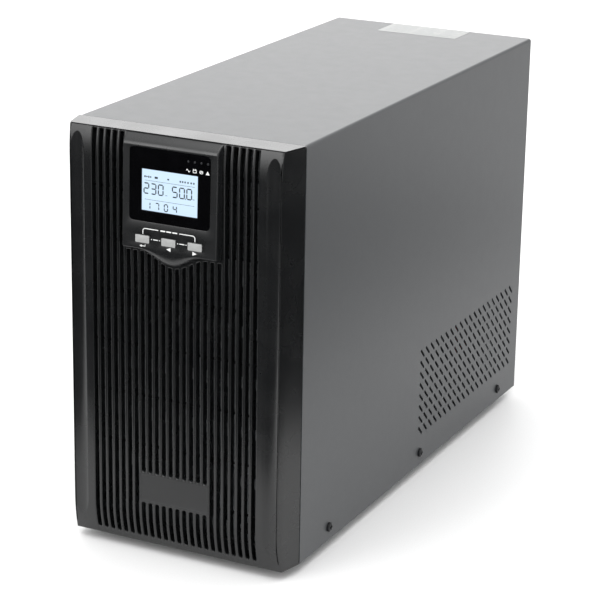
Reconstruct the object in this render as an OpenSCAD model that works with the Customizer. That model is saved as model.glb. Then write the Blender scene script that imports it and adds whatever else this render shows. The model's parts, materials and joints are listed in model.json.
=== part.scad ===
// Tower uninterruptible power supply: steel case, ribbed plastic bezel with a display,
// battery bay, power electronics and a rear panel with fans, inlet and outlets.
// X runs left to right seen from the front, Y to the back, Z up.
// The origin is under the middle of the whole object, on the surface it stands on.

/* [Case] */
// Width of the steel case
case_w = 190; // [188:1:194]
// Height of the steel case above its feet
case_h = 326; // [326:1:330]
// Depth of the steel case behind the bezel
case_d = 444; // [440:1:460]
// Thickness of the sheet steel
sheet = 1.2; // [1:0.1:1.4]
// Outer radius of the case's top bends
bend_r = 2.5; // [2:0.5:4]
// Height of the rubber feet
foot_h = 8; // [6:1:12]
// Diameter of the rubber feet
foot_d = 24; // [20:1:28]

/* [Bezel] */
// Depth of the plastic bezel
bezel_d = 25.5; // [25:0.5:27]
// Width of the bezel across its front
bezel_front_w = 177.2; // [176:0.4:180]
// Wall of the bezel
bezel_wall = 2.5; // [2:0.5:3]
// Distance from one grille slot to the next
slot_pitch = 5.9; // [5.8:0.05:6]
// Width of each grille slot
slot_w = 3.3; // [2.8:0.1:3.6]
// Number of grille slots
slot_count = 24; // [22, 24]
// Depth of the grille ribs
rib_depth = 6; // [5:0.5:8]

/* [Display] */
// How far the display stands out of the bezel at its buttons
stand_low = 7; // [6:0.5:8]
// How far the display stands out of the bezel near its top
stand_high = 5; // [4:0.5:5.5]
// Half width of the display housing at the bezel
display_half = 40.3; // [40:0.1:41]
// Width of the glossy window
window_w = 67; // [64:1:68]
// Height of the glossy window
window_h = 55; // [53:1:56]
// Width of the lit screen
screen_w = 46.5; // [44:0.5:48]
// Height of the lit screen
screen_h = 31; // [29:0.5:32]
// Width of each button
button_w = 11.6; // [10:0.2:12]
// Height of each button
button_h = 5.8; // [5:0.2:6]
// Distance from one button to the next
button_pitch = 22; // [20:1:24]
// Travel of each button
button_travel = 0.8; // [0.5:0.1:1]

/* [Side vents] */
// Number of vent columns on each side
vent_columns = 20; // [10:1:20]
// Number of vent rows on each side
vent_rows = 8; // [4:1:8]
// Overall length of a vent slot
vent_length = 11; // [8:0.5:11]
// Width of a vent slot
vent_w = 2.4; // [2:0.1:2.8]

/* [Fans] */
// Depth of each fan
fan_depth = 25; // [20:1:25]
// Number of blades on each rotor
blade_count = 7; // [5:1:9]

/* [Batteries] */
// Width of one battery block
battery_w = 65; // [64:0.5:66]
// Length of one battery block
battery_l = 151; // [150:0.5:152]
// Height of one battery block, without its tabs
battery_h = 94; // [93:0.5:95]
// Height from one battery shelf to the next
shelf_pitch = 104; // [103:1:105]

/* [Hidden] */
$fn = 32;

window_size = [window_w, window_h];
screen_size = [screen_w, screen_h];
button_size = [button_w, button_h];
battery_size = [battery_w, battery_l, battery_h];
fan_size = 80;
gap = 0.2;
button_stand = 0.8;
stud_stand = 12;
front_reach = bezel_d + stand_low + button_stand;
rear_reach = case_d + stud_stand;
seam_y = (front_reach - rear_reach) / 2;
inner_w = case_w - 2 * sheet;
inner_h = case_h - sheet;

// Bezel outline
bottom_ease_h = 30;
bottom_ease = 5.2;
top_ease_h = 24;
top_ease = 2.6;
corner_r = 2.5;
top_wall = 1.5;
slot_low = 5.5;
slot_top = case_h - top_wall - 0.1;
crossbar_z = concat([17], [for (i = [0 : 6]) 39 + i * 40]);
crossbar_h = 2;
crossbar_d = 1.4;
tab_x = 60;
tab_z = [26, 300];
tab_size = [14, 2.4];
flute_w = 12;
flute_depth = 1.5;
flute_x = 82;
flute_r = (pow(flute_w / 2, 2) + pow(flute_depth, 2)) / (2 * flute_depth);
badge_size = [60, 23.4];
badge_z = 47.6;
badge_slots = 10;

// Display outline
face_low_z = 246;
face_high_z = 315;
chin_z = 241;
edge_z = 239;
dip = 10;
dip_half = 28;
rim = 3;
shoulder_z = 318;
tilt = atan((stand_low - stand_high) / (face_high_z - face_low_z));
face_wall = 3.4;
window_t = 2;
window_v = 43.2;
screen_v = 39.5;
button_v = 2.3;
board_depth = 14;
board_t = 1.6;
switch_top = -8.2;
led_x = 15.3;
led_pitch = 5.4;
led_v = 65;

// Side and rear places, measured from the seam behind the bezel and from the case's bottom edge
vent_y = 224.6;
vent_z = 31;
vent_pitch_y = 10.43;
vent_pitch_z = 9.8;
side_screw_y = [50, 225, 400];
side_screw_z = 11;
lip = 9;
panel_y = case_d - sheet;
fan_x = 43;
fan_z = 205;
fan_hole_pitch = 71.5;
fan_bore = 76;
hub_d = 36;
rotor_d = 73;
shaft_r = 1.5;
shaft_gap = 0.05;
wire_d = 1.6;
guard_rings = [5, 12, 19, 26, 33, 39];
outlet_places = [[8, 38], [54, 38], [8, 78], [54, 78]];
outlet_core = [24, 15.8];
high_place = [31, 121];
high_core = [28.6, 19.2];
groove = 3;
outlet_wall = 1.5;
outlet_depth = 24;
inlet_place = [-50, 42];
inlet_recess = [30.4, 21.4];
inlet_screw_pitch = 40;
breaker_place = [-50, 88];
breaker_d = 15.8;
breaker_travel = 3;
breaker_reach = 8;
stud_place = [-50, 124];
stud_r = 2.5;
slot_place = [-27, 290];
slot_opening = [94, 36];
slot_screw_x = 52;
serial_place = [62, 305];
usb_place = [50, 286];
shutdown_place = [75, 286];
jack_place = [62, 265];
jack_pitch = 15;
jack_opening = [11.8, 8];
rear_screw_places = [for (x = [-1, 1], z = [14, 150, 310]) [x * (case_w / 2 - 5.8), z]];
foot_x = 74;
foot_y = [32, case_d - 32];
label_size = [75, 35];

// Inside places
bay_y = 12;
battery_x = 34;
cage_x = 67.2;
board_x = 80;
board_y = [178, 398];
board_z = [112, 306];
bracket_x = 88;

// ---------- Helpers ----------

// Local frame with its origin at the seam behind the bezel, on the case's bottom edge
module case_frame() {
    translate([0, seam_y, foot_h]) children();
}

// Display frame: x to the right, y up the sloping face, z straight out of it
module face_frame() {
    case_frame()
        translate([0, -bezel_d - stand_low, face_low_z])
            rotate([90 - tilt, 0, 0]) children();
}

// Rear frame at an (x, z) place on the rear panel, with z pointing out of the back
module rear_frame(place) {
    case_frame() translate([place[0], case_d, place[1]]) rotate([-90, 0, 0]) children();
}

module box(low, high) {
    translate(low) cube(high - low);
}

module along_x(length) {
    rotate([90, 0, 90]) linear_extrude(length, center = true) children();
}

module along_y(from, to) {
    translate([0, to, 0]) rotate([90, 0, 0]) linear_extrude(to - from) children();
}

module rounded(size, r) {
    square([size[0] - 2 * r, size[1]], center = true);
    square([size[0], size[1] - 2 * r], center = true);
    for (x = [-1, 1], y = [-1, 1])
        translate([x * (size[0] / 2 - r), y * (size[1] / 2 - r)]) circle(r);
}

module slot(length, width) {
    square([length - width, width], center = true);
    for (x = [-1, 1]) translate([x * (length - width) / 2, 0]) circle(width / 2);
}

// Vertical slot between two heights
module tall_slot(x, low, high, width) {
    translate([x, (low + high) / 2]) rotate(90) slot(high - low, width);
}

// Rectangle with its two upper corners cut off, the outline of a mains connector
module connector_outline(size, cut) {
    w = size[0] / 2;
    h = size[1] / 2;
    polygon([[-w, -h], [w, -h], [w, h - cut], [w - cut, h], [cut - w, h], [-w, h - cut]]);
}

// Round lead through corners that are joined by straight runs along one axis at a time
module lead(route, d) {
    for (i = [0 : len(route) - 2]) {
        step = route[i + 1] - route[i];
        turn = step[0] != 0 ? [0, step[0] > 0 ? 90 : -90, 0]
            : step[1] != 0 ? [step[1] > 0 ? -90 : 90, 0, 0]
            : [step[2] > 0 ? 0 : 180, 0, 0];
        translate(route[i]) rotate(turn) cylinder(h = norm(step), d = d, $fn = 16);
    }
    for (i = [1 : len(route) - 2]) translate(route[i]) sphere(d = d, $fn = 16);
}

// Pan-head screw along +z, with its head's underside at z = 0
module pan_screw(head_d, head_h, shank_d, length) {
    cylinder(h = head_h * 0.6, d = head_d);
    translate([0, 0, head_h * 0.6]) cylinder(h = head_h * 0.4, d1 = head_d, d2 = head_d * 0.7);
    translate([0, 0, -length]) cylinder(h = length + 0.1, d = shank_d);
}

module cross_recess(head_d, head_h) {
    for (a = [0, 90])
        rotate(a) translate([0, 0, head_h]) cube([head_d * 0.5, head_d * 0.12, head_h], center = true);
}

module cross_screw(head_d, head_h, shank_d, length) {
    difference() {
        pan_screw(head_d, head_h, shank_d, length);
        cross_recess(head_d, head_h);
    }
}

// ---------- Bezel ----------

function front_y(z) = -bezel_d
    + bottom_ease * pow(max(0, bottom_ease_h - z) / bottom_ease_h, 2)
    + top_ease * pow(max(0, z - case_h + top_ease_h) / top_ease_h, 2);
front_heights = concat(
    [for (i = [0 : 8]) i * bottom_ease_h / 8],
    [for (i = [0 : 5]) case_h - top_ease_h + i * top_ease_h / 5]
);
function wave(x) = edge_z - (abs(x) < dip_half ? dip * (0.5 + 0.5 * cos(180 * x / dip_half)) : 0);
function grille_x(i) = (i - (slot_count - 1) / 2) * slot_pitch;

// Side outline between the front surface, set back by inset, and the plane y = back
module side_outline(inset, back, low, high) {
    heights = [for (z = front_heights) min(max(z, low), high)];
    polygon(concat([[back, low]], [for (z = heights) [front_y(z) + inset, z]], [[back, high]]));
}

// Plan outline of the bezel, tapering to the front with rounded corners
module plan_outline() {
    arc = [for (a = [-15 : -15 : -90])
        [bezel_front_w / 2 - corner_r + corner_r * cos(a), -bezel_d + corner_r + corner_r * sin(a)]];
    right = concat([[case_w / 2, 0]], arc);
    left = [for (i = [len(right) - 1 : -1 : 0]) [-right[i][0], right[i][1]]];
    polygon(concat(right, left));
}

module bezel_hollow() {
    intersection() {
        along_x(case_w) side_outline(bezel_wall, 1, 2, case_h - top_wall);
        linear_extrude(case_h) polygon([
            [case_w / 2 - bezel_wall, 1], [-case_w / 2 + bezel_wall, 1],
            [-bezel_front_w / 2 + bezel_wall, -bezel_d], [bezel_front_w / 2 - bezel_wall, -bezel_d]
        ]);
    }
}

// Hollow bezel with a thick field where the grille is cut
module bezel_body() {
    difference() {
        intersection() {
            along_x(case_w) side_outline(0, 0, 0, case_h);
            linear_extrude(case_h) plan_outline();
        }
        bezel_hollow();
    }
    along_x(slot_count * slot_pitch + 2)
        side_outline(0.5, -bezel_d + rib_depth + crossbar_d, 1, case_h - 0.5);
}

module grille_slots() {
    side_slots = (slot_count - 14) / 2;
    badge_first = (slot_count - badge_slots) / 2;
    for (i = [0 : slot_count - 1]) {
        x = grille_x(i);
        under_display = i >= side_slots && i < slot_count - side_slots;
        high = under_display ? wave(x) - rim : slot_top;
        if (i >= badge_first && i < badge_first + badge_slots) {
            tall_slot(x, slot_low, badge_z - badge_size[1] / 2 - 1, slot_w);
            tall_slot(x, badge_z + badge_size[1] / 2 + 1, high, slot_w);
        } else {
            tall_slot(x, slot_low, high, slot_w);
        }
    }
}

module display_outline(grow) {
    half = display_half + grow;
    points = [for (i = [-12 : 12]) i * dip_half / 12];
    polygon(concat(
        [[-half, case_h - top_wall], [-half, edge_z - grow]],
        [for (x = points) [x, wave(x) - grow]],
        [[half, edge_z - grow], [half, case_h - top_wall]]
    ));
}

module front_bezel() {
    color("#26282a") case_frame() {
        difference() {
            union() {
                difference() {
                    bezel_body();
                    along_y(-bezel_d - 1, -bezel_d + rib_depth + 3) grille_slots();
                }
                for (z = crossbar_z) box([-grille_x(slot_count), -bezel_d + rib_depth, z],
                    [grille_x(slot_count), -bezel_d + rib_depth + crossbar_d, z + crossbar_h]);
                for (x = [-tab_x, tab_x], z = tab_z)
                    box([x - tab_size[0] / 2, -bezel_d + rib_depth, z - tab_size[1] / 2],
                        [x + tab_size[0] / 2, 8, z + tab_size[1] / 2]);
            }
            along_y(-bezel_d - 1, -bezel_d + rib_depth + 3) display_outline(gap);
            for (side = [-1, 1]) {
                translate([side * flute_x, -bezel_d - flute_r + flute_depth, 0]) {
                    translate([0, 0, 18]) cylinder(h = case_h - 28, r = flute_r, $fn = 48);
                    for (z = [18, case_h - 10]) translate([0, 0, z]) sphere(flute_r, $fn = 48);
                }
                translate([side * (bezel_front_w / 2 - 1.2), -bezel_d - 1, 8])
                    translate([-0.4, 0, 0]) cube([0.8, 2.4, case_h - 19]);
            }
            along_y(-bezel_d - 1, -bezel_d + 1.4) translate([0, badge_z]) rounded(badge_size, 1);
        }
    }
}

module badge_plate() {
    color("#1d1f21") case_frame()
        along_y(-bezel_d - 0.1, -bezel_d + 1.4) translate([0, badge_z]) rounded(badge_size - [gap, gap], 0.9);
}

// ---------- Display ----------

module display_housing() {
    shoulder = case_h - top_wall - shoulder_z;
    back = -bezel_d + rib_depth;
    color("#3c3f41") difference() {
        case_frame() intersection() {
            along_y(-bezel_d - stand_low - 1, back) display_outline(0);
            along_x(case_w) polygon(concat(
                [[back, 225], [-bezel_d - 1.5, 225], [-bezel_d - 2, edge_z - dip]],
                [for (a = [15 : 15 : 90])
                    [-bezel_d - 2 - (stand_low - 1.9) * sin(a), chin_z - (chin_z - edge_z + dip) * cos(a)]],
                [for (a = [0 : 15 : 90])
                    [-bezel_d + 2.3 - (stand_high + 2.2) * cos(a), shoulder_z + shoulder * sin(a)]],
                [[back, case_h - top_wall]]
            ));
            linear_extrude(case_h) polygon([
                [-display_half, 0], [-display_half, -bezel_d], [-display_half + 0.4, -bezel_d - stand_high],
                [-display_half + 2.4, -bezel_d - stand_low - 1], [display_half - 2.4, -bezel_d - stand_low - 1],
                [display_half - 0.4, -bezel_d - stand_high], [display_half, -bezel_d], [display_half, 0]
            ]);
        }
        face_frame() {
            translate([0, window_v, -window_t]) linear_extrude(20) rounded(window_size + [gap, gap], 3.6);
            translate([0, window_v, -20]) linear_extrude(21) rounded(window_size - [1.8, 5], 2);
            for (i = [-1 : 1]) translate([i * button_pitch, button_v, -20])
                linear_extrude(21) rounded(button_size + [0.6, 0.6], 0.8);
            box([-38, -3, -30], [38, 75, -face_wall]);
        }
    }
}

module display_window() {
    color("#0a0b0c") face_frame() difference() {
        translate([0, window_v, -window_t]) linear_extrude(window_t) rounded(window_size, 3.5);
        translate([0, screen_v, -window_t - 1]) linear_extrude(window_t + 2) square(screen_size, center = true);
        for (i = [0 : 3]) translate([led_x + i * led_pitch, led_v, -window_t - 1]) cylinder(h = 4, d = 1.8);
    }
}

module lcd_panel() {
    color("#c9e4fb") face_frame() {
        translate([0, screen_v, -window_t - 0.1]) linear_extrude(window_t - 0.2)
            square(screen_size - [gap, gap], center = true);
        box([-26, screen_v - 19, -board_depth + board_t], [26, screen_v + 19, -window_t]);
    }
}

module display_board() {
    color("#1f5c34") face_frame() difference() {
        box([-37, -2.5, -board_depth], [37, 74, -board_depth + board_t]);
        for (x = [-34, 34], y = [12, 71]) translate([x, y, -board_depth - 1]) cylinder(h = 4, d = 3);
    }
    color("#e4e2d8") face_frame() box([15, 50, -board_depth - 1], [33, 57, -board_depth + 0.1]);
}

module status_leds() {
    color("#4b5a4e") face_frame() for (i = [0 : 3]) translate([led_x + i * led_pitch, led_v, 0]) {
        translate([0, 0, -4]) cylinder(h = 3.8, d = 1.6);
        translate([0, 0, -board_depth + board_t]) cylinder(h = board_depth - board_t - 4, d = 3);
    }
}

module tact_switches() {
    color("#202020") face_frame() for (i = [-1 : 1]) translate([i * button_pitch, button_v, 0]) {
        box([-3, -3, -board_depth + board_t], [3, 3, switch_top - 0.8]);
        translate([0, 0, switch_top - 0.9]) cylinder(h = 0.9, d = 3.4);
    }
}

module display_button(i) {
    stem_end = switch_top + button_travel + 0.4;
    color("#c9cbcc") face_frame() translate([i * button_pitch, button_v, 0]) {
        translate([0, 0, -face_wall - 0.4]) linear_extrude(face_wall + 0.4 + button_stand) rounded(button_size, 0.6);
        translate([0, 0, -face_wall - 1.4]) linear_extrude(1) rounded(button_size + [3, 2], 0.6);
        translate([0, 0, stem_end]) cylinder(h = -stem_end - face_wall - 1, d = 3);
    }
}

module enter_button() {
    display_button(-1);
}

module left_button() {
    display_button(0);
}

module right_button() {
    display_button(1);
}

module display_cable() {
    y_front = -bezel_d + 11;
    color("#d8d8d4") case_frame() {
        box([14, y_front - 1, 290], [34, y_front, 317]);
        box([14, y_front - 1, 317], [34, 196, 318]);
        box([14, 195, 317], [board_x - 4, 196, 318]);
        box([board_x - 8, 176, 317], [board_x - 4, 196, 318]);
        box([board_x - 5, 184, 296], [board_x - 4, 196, 318]);
    }
}

// ---------- Case ----------

module vent_pattern() {
    for (i = [0 : vent_columns - 1], j = [0 : vent_rows - 1])
        translate([vent_y + i * vent_pitch_y, vent_z + j * vent_pitch_z])
            rotate(-45) slot(vent_length, vent_w, $fn = 16);
}

module arch_outline(inset, low) {
    w = case_w / 2 - inset;
    h = case_h - inset;
    r = bend_r - inset;
    translate([-w, low]) square([2 * w, h - r - low]);
    translate([-w + r, low]) square([2 * (w - r), h - low]);
    for (x = [-1, 1]) translate([x * (w - r), h - r]) circle(r);
}

module wrap_cover() {
    color("#4a4c4f") case_frame() difference() {
        union() {
            along_y(0, case_d) difference() {
                arch_outline(0, 0);
                arch_outline(sheet, -1);
            }
            for (x = [-1, 1]) box(
                [x > 0 ? inner_w / 2 - lip : -inner_w / 2 - 0.1, panel_y - gap - sheet, 2],
                [x > 0 ? inner_w / 2 + 0.1 : -inner_w / 2 + lip, panel_y - gap, inner_h]);
            box([-inner_w / 2, panel_y - gap - sheet, inner_h - lip], [inner_w / 2, panel_y - gap, inner_h + 0.1]);
        }
        along_x(case_w + 2) vent_pattern();
        for (y = side_screw_y) translate([0, y, side_screw_z])
            rotate([0, 90, 0]) cylinder(h = case_w + 2, d = 4.4, center = true);
        for (p = rear_screw_places) translate([p[0], case_d, p[1]])
            rotate([90, 0, 0]) cylinder(h = 8, d = 3.2);
    }
}

module base_pan() {
    flange = 20;
    w = inner_w / 2 - gap;
    color("#8d9093") case_frame() difference() {
        union() {
            box([-w, 1, 0], [w, panel_y - 0.4, sheet]);
            for (x = [-1, 1]) box([x > 0 ? w - sheet : -w, 1, 0], [x > 0 ? w : sheet - w, panel_y - 4, flange]);
        }
        for (y = side_screw_y) translate([0, y, side_screw_z])
            rotate([0, 90, 0]) cylinder(h = case_w, d = 3.9, center = true);
        for (x = [-foot_x, foot_x], y = foot_y) translate([x, y, -1]) cylinder(h = 4, d = 3.9);
    }
}

module front_plate() {
    w = inner_w / 2 - gap - sheet - gap;
    color("#8d9093") case_frame() along_y(2, 2 + sheet) difference() {
        translate([-w, sheet + gap]) square([2 * w, inner_h - sheet - 2 * gap]);
        for (i = [-6 : 6], z = [20 : 40 : 180]) tall_slot(i * 11, z, z + 32, 6);
        translate([24, 304]) square([30, 36], center = true);
        for (x = [-tab_x, tab_x], z = tab_z) translate([x, z]) square(tab_size + [1, 0.8], center = true);
    }
}

module panel_cutouts() {
    for (x = [-fan_x, fan_x]) translate([x, fan_z]) {
        circle(d = fan_bore, $fn = 64);
        for (i = [-1, 1], j = [-1, 1]) translate([i, j] * fan_hole_pitch / 2) circle(d = 4.5);
    }
    for (p = outlet_places) translate(p) square(outlet_core + [9.3, 9.3], center = true);
    translate(high_place) square(high_core + [9.3, 9.3], center = true);
    translate(inlet_place) {
        square(inlet_recess + [4.3, 4.3], center = true);
        for (x = [-1, 1]) translate([x * inlet_screw_pitch / 2, 0]) circle(d = 3.2);
    }
    translate(breaker_place) circle(d = breaker_d + 0.3);
    translate(stud_place) circle(r = stud_r + 0.2);
    translate(slot_place) {
        square(slot_opening, center = true);
        for (x = [-1, 1]) translate([x * slot_screw_x, 0]) circle(d = 3.2);
    }
    translate(serial_place) square([19.6, 10], center = true);
    translate(usb_place) square([12.4, 11.2], center = true);
    translate(shutdown_place) square([12.4, 8.8], center = true);
    translate(jack_place) square([2 * jack_pitch + 2.4, 16], center = true);
    for (p = rear_screw_places) translate(p) circle(d = 3.2);
}

module rear_panel() {
    w = inner_w / 2 - gap;
    color("#4a4c4f") case_frame() {
        along_y(panel_y, case_d) difference() {
            arch_outline(sheet + gap, sheet + gap);
            panel_cutouts();
        }
        box([-w + 10, panel_y - 10, sheet], [w - 10, panel_y + 0.1, 2 * sheet]);
    }
}

module top_label() {
    color("#f2f2f0") case_frame()
        translate([0, case_d - label_size[1] / 2 - 2, case_h]) linear_extrude(0.2) rounded(label_size, 1);
}

module side_screws() {
    color("#17181a") case_frame() for (side = [-1, 1], y = side_screw_y)
        translate([side * case_w / 2, y, side_screw_z])
            rotate([0, side * 90, 0]) cross_screw(7.6, 2.2, 3.8, 5);
}

module rear_screws() {
    slot_screws = [for (x = [-1, 1]) slot_place + [x * slot_screw_x, 0]];
    inlet_screws = [for (x = [-1, 1]) inlet_place + [x * inlet_screw_pitch / 2, 0]];
    color("#17181a") {
        for (p = rear_screw_places) rear_frame(p) cross_screw(6, 2, 3, 8);
        for (p = slot_screws) rear_frame(p) translate([0, 0, sheet]) cross_screw(6, 2, 3, 8);
        for (p = inlet_screws) rear_frame(p) translate([0, 0, 2]) cross_screw(5.4, 1.8, 3, 9);
    }
}

module foot_places() {
    for (x = [-foot_x, foot_x], y = foot_y) case_frame() translate([x, y, -foot_h]) children();
}

module feet() {
    color("#1a1a1a") foot_places() difference() {
        union() {
            cylinder(h = 1.5, d1 = foot_d - 5, d2 = foot_d - 3);
            translate([0, 0, 1.5]) cylinder(h = foot_h - 1.5, d1 = foot_d - 3, d2 = foot_d);
        }
        translate([0, 0, -1]) cylinder(h = foot_h - 2, d = 10);
        translate([0, 0, -1]) cylinder(h = foot_h + 2, d = 4.3);
    }
}

module foot_screws() {
    color("#9a9c9e") foot_places() translate([0, 0, foot_h - 3])
        rotate([180, 0, 0]) cross_screw(8, 2.4, 3.8, 7);
}

// ---------- Rear panel fittings ----------

module fan_place(side) {
    case_frame() translate([side * fan_x, panel_y - fan_depth, fan_z]) rotate([-90, 0, 0]) children();
}

module fan_frame(side) {
    hub_plate = 4;
    color("#202224") fan_place(side) difference() {
        union() {
            difference() {
                linear_extrude(fan_depth) rounded([fan_size, fan_size], 4);
                translate([0, 0, -1]) cylinder(h = fan_depth + 2, d = fan_bore, $fn = 64);
            }
            cylinder(h = hub_plate, d = hub_d - 2, $fn = 48);
            cylinder(h = fan_depth - 8, d = 9);
            for (a = [45 : 90 : 315]) rotate(a) box([hub_d / 2 - 2, -2.2, 0], [fan_bore / 2 + 1, 2.2, hub_plate - 1]);
        }
        translate([0, 0, -1]) cylinder(h = fan_depth, r = shaft_r + shaft_gap);
        for (i = [-1, 1], j = [-1, 1]) translate([i * fan_hole_pitch / 2, j * fan_hole_pitch / 2, -1])
            cylinder(h = fan_depth + 2, d = 4.1);
    }
}

module fan_frame_left() {
    fan_frame(-1);
}

module fan_frame_right() {
    fan_frame(1);
}

module fan_rotor(side) {
    cup_low = 5;
    cup_high = fan_depth - 3;
    color("#2a2c2e") fan_place(side) {
        difference() {
            union() {
                translate([0, 0, cup_low]) cylinder(h = cup_high - cup_low, d = hub_d, $fn = 48);
                intersection() {
                    translate([0, 0, cup_low]) cylinder(h = cup_high - cup_low, d = rotor_d, $fn = 64);
                    for (i = [0 : blade_count - 1]) rotate(i * 360 / blade_count)
                        translate([hub_d / 2 - 1, 0, (cup_low + cup_high) / 2])
                            rotate([38, 0, 0]) translate([0, -11, -0.8]) cube([rotor_d / 2, 22, 1.6]);
                }
            }
            translate([0, 0, cup_low - 1]) cylinder(h = cup_high - cup_low - 1, d = hub_d - 4, $fn = 48);
        }
        translate([0, 0, 1.5]) cylinder(h = cup_high - 2, r = shaft_r);
    }
}

module fan_rotor_left() {
    fan_rotor(-1);
}

module fan_rotor_right() {
    fan_rotor(1);
}

module fan_guard(side) {
    corner = fan_hole_pitch / 2 * sqrt(2);
    color("#c4c6c8") rear_frame([side * fan_x, fan_z]) {
        for (r = guard_rings) translate([0, 0, wire_d * 1.4])
            rotate_extrude($fn = 64) translate([r, 0]) circle(d = wire_d, $fn = 14);
        for (a = [45 : 90 : 315]) rotate(a) {
            translate([0, 0, wire_d / 2]) rotate([0, 90, 0]) cylinder(h = corner - 2.6, d = wire_d, $fn = 14);
            translate([corner, 0, wire_d / 2])
                rotate_extrude($fn = 24) translate([3.1, 0]) circle(d = wire_d, $fn = 14);
        }
    }
}

module fan_guard_left() {
    fan_guard(-1);
}

module fan_guard_right() {
    fan_guard(1);
}

module fan_screws() {
    color("#9a9c9e") for (side = [-1, 1], i = [-1, 1], j = [-1, 1])
        rear_frame([side * fan_x + i * fan_hole_pitch / 2, fan_z + j * fan_hole_pitch / 2])
            translate([0, 0, wire_d]) cross_screw(7.4, 2.2, 3.9, 14);
}

module slot_cover() {
    color("#4a4c4f") rear_frame(slot_place) {
        difference() {
            linear_extrude(sheet) difference() {
                square([2 * slot_screw_x + 8, slot_opening[1] + 8], center = true);
                for (x = [-1, 1]) translate([x * slot_screw_x, 0]) circle(d = 3.2);
            }
            translate([0, 0, -1]) linear_extrude(4) slot(12, 3);
        }
        for (y = [-1, 1]) translate([-slot_opening[0] / 2 + 1, y * (slot_opening[1] / 2 - 1.2) - 0.5, -6])
            cube([slot_opening[0] - 2, 1, 6.1]);
    }
}

module serial_port() {
    color("#b9bcbe") rear_frame(serial_place) {
        linear_extrude(1) difference() {
            rounded([31, 12.6], 1.5);
            for (x = [-12.5, 12.5]) translate([x, 0]) circle(d = 2.6);
        }
        difference() {
            translate([0, 0, 0.9]) linear_extrude(5.4)
                polygon([[-8.4, -4.2], [8.4, -4.2], [7.4, 4.2], [-7.4, 4.2]]);
            for (i = [0 : 4]) translate([(i - 2) * 2.76, -1.4, 2]) cylinder(h = 6, d = 1.1);
            for (i = [0 : 3]) translate([(i - 1.5) * 2.76, 1.4, 2]) cylinder(h = 6, d = 1.1);
        }
        box([-9.6, -4.8, -9], [9.6, 4.8, 0.1]);
    }
}

module usb_port() {
    color("#b9bcbe") rear_frame(usb_place) {
        difference() {
            box([-6, -5.4, -16], [6, 5.4, 0.6]);
            translate([0, 0, -9]) linear_extrude(11)
                polygon([[-4.2, 3.9], [4.2, 3.9], [4.2, -2.4], [2.8, -3.9], [-2.8, -3.9], [-4.2, -2.4]]);
        }
        box([-2.8, -1.6, -9.1], [2.8, 1.6, -0.4]);
    }
}

module surge_jacks() {
    w = jack_pitch + 1;
    color("#1b1c1e") rear_frame(jack_place) difference() {
        union() {
            box([-w, -7.8, -16], [w, 7.8, 0.8]);
            box([-w - 2, -9.4, 0], [w + 2, 9.4, 0.8]);
        }
        for (x = [-1, 1]) translate([x * jack_pitch / 2, 0, -13]) linear_extrude(15) {
            square(jack_opening, center = true);
            translate([0, jack_opening[1] / 2]) square([6, 4], center = true);
        }
    }
}

module shutdown_terminal() {
    color("#2f7d46") rear_frame(shutdown_place) difference() {
        box([-6, -4.2, -9], [6, 4.2, 5]);
        for (x = [-2.6, 2.6]) {
            translate([x, 0.6, 2]) linear_extrude(4) square([3.4, 3.4], center = true);
            translate([x, -6, 2.5]) rotate([-90, 0, 0]) cylinder(h = 3.4, d = 3);
        }
    }
}

module mains_socket(place, core, contacts) {
    cut = 4;
    cavity = core + 2 * [groove, groove];
    outer = cavity + 2 * [outlet_wall, outlet_wall];
    color("#1b1c1e") rear_frame(place) difference() {
        union() {
            difference() {
                union() {
                    linear_extrude(2) rounded(outer + [4, 4], 1.5);
                    translate([0, 0, -outlet_depth]) linear_extrude(outlet_depth + 0.1) square(outer, center = true);
                }
                translate([0, 0, -17]) linear_extrude(20) connector_outline(cavity, cut + 1);
            }
            translate([0, 0, -17.1]) linear_extrude(17.6) connector_outline(core, cut);
        }
        for (c = contacts) translate([c[0], c[1], -14]) linear_extrude(16) square([c[2], c[3]], center = true);
    }
}

// x, y, width and height of each contact slot, seen from outside with y down
low_current_contacts = [[-7, 2.6, 2.6, 5], [7, 2.6, 2.6, 5], [0, -2.4, 2.6, 5]];
high_current_contacts = [[-6.5, 3.4, 8.6, 2.6], [6.5, 3.4, 8.6, 2.6], [0, -4.2, 8.6, 2.6]];

module outlet_1() {
    mains_socket(outlet_places[0], outlet_core, low_current_contacts);
}

module outlet_2() {
    mains_socket(outlet_places[1], outlet_core, low_current_contacts);
}

module outlet_3() {
    mains_socket(outlet_places[2], outlet_core, low_current_contacts);
}

module outlet_4() {
    mains_socket(outlet_places[3], outlet_core, low_current_contacts);
}

module high_current_outlet() {
    mains_socket(high_place, high_core, high_current_contacts);
}

module power_inlet() {
    color("#1b1c1e") rear_frame(inlet_place) difference() {
        union() {
            linear_extrude(2) rounded([inlet_screw_pitch + 10, inlet_recess[1] + 9], 3);
            translate([0, 0, -26]) linear_extrude(26.1) square(inlet_recess + [4, 4], center = true);
        }
        translate([0, 0, -20]) linear_extrude(23) connector_outline(inlet_recess, 4);
        for (x = [-1, 1]) translate([x * inlet_screw_pitch / 2, 0, -1]) cylinder(h = 4, d = 3.2);
        for (c = high_current_contacts) translate([c[0], c[1], -27]) linear_extrude(8) square([8, 2], center = true);
    }
}

module inlet_blades() {
    color("#c9b26a") rear_frame(inlet_place) for (c = high_current_contacts)
        translate([c[0], c[1], -34]) linear_extrude(29) square([7.9, 1.9], center = true);
}

module input_breaker() {
    color("#1b1c1e") rear_frame(breaker_place) difference() {
        union() {
            box([-9, -15, -38], [9, 15, -sheet]);
            translate([0, 0, -sheet - 0.1]) cylinder(h = sheet + 5.1, d = breaker_d);
        }
        translate([0, 0, -breaker_reach - breaker_travel - 1]) cylinder(h = 20, d = 9);
    }
}

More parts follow.
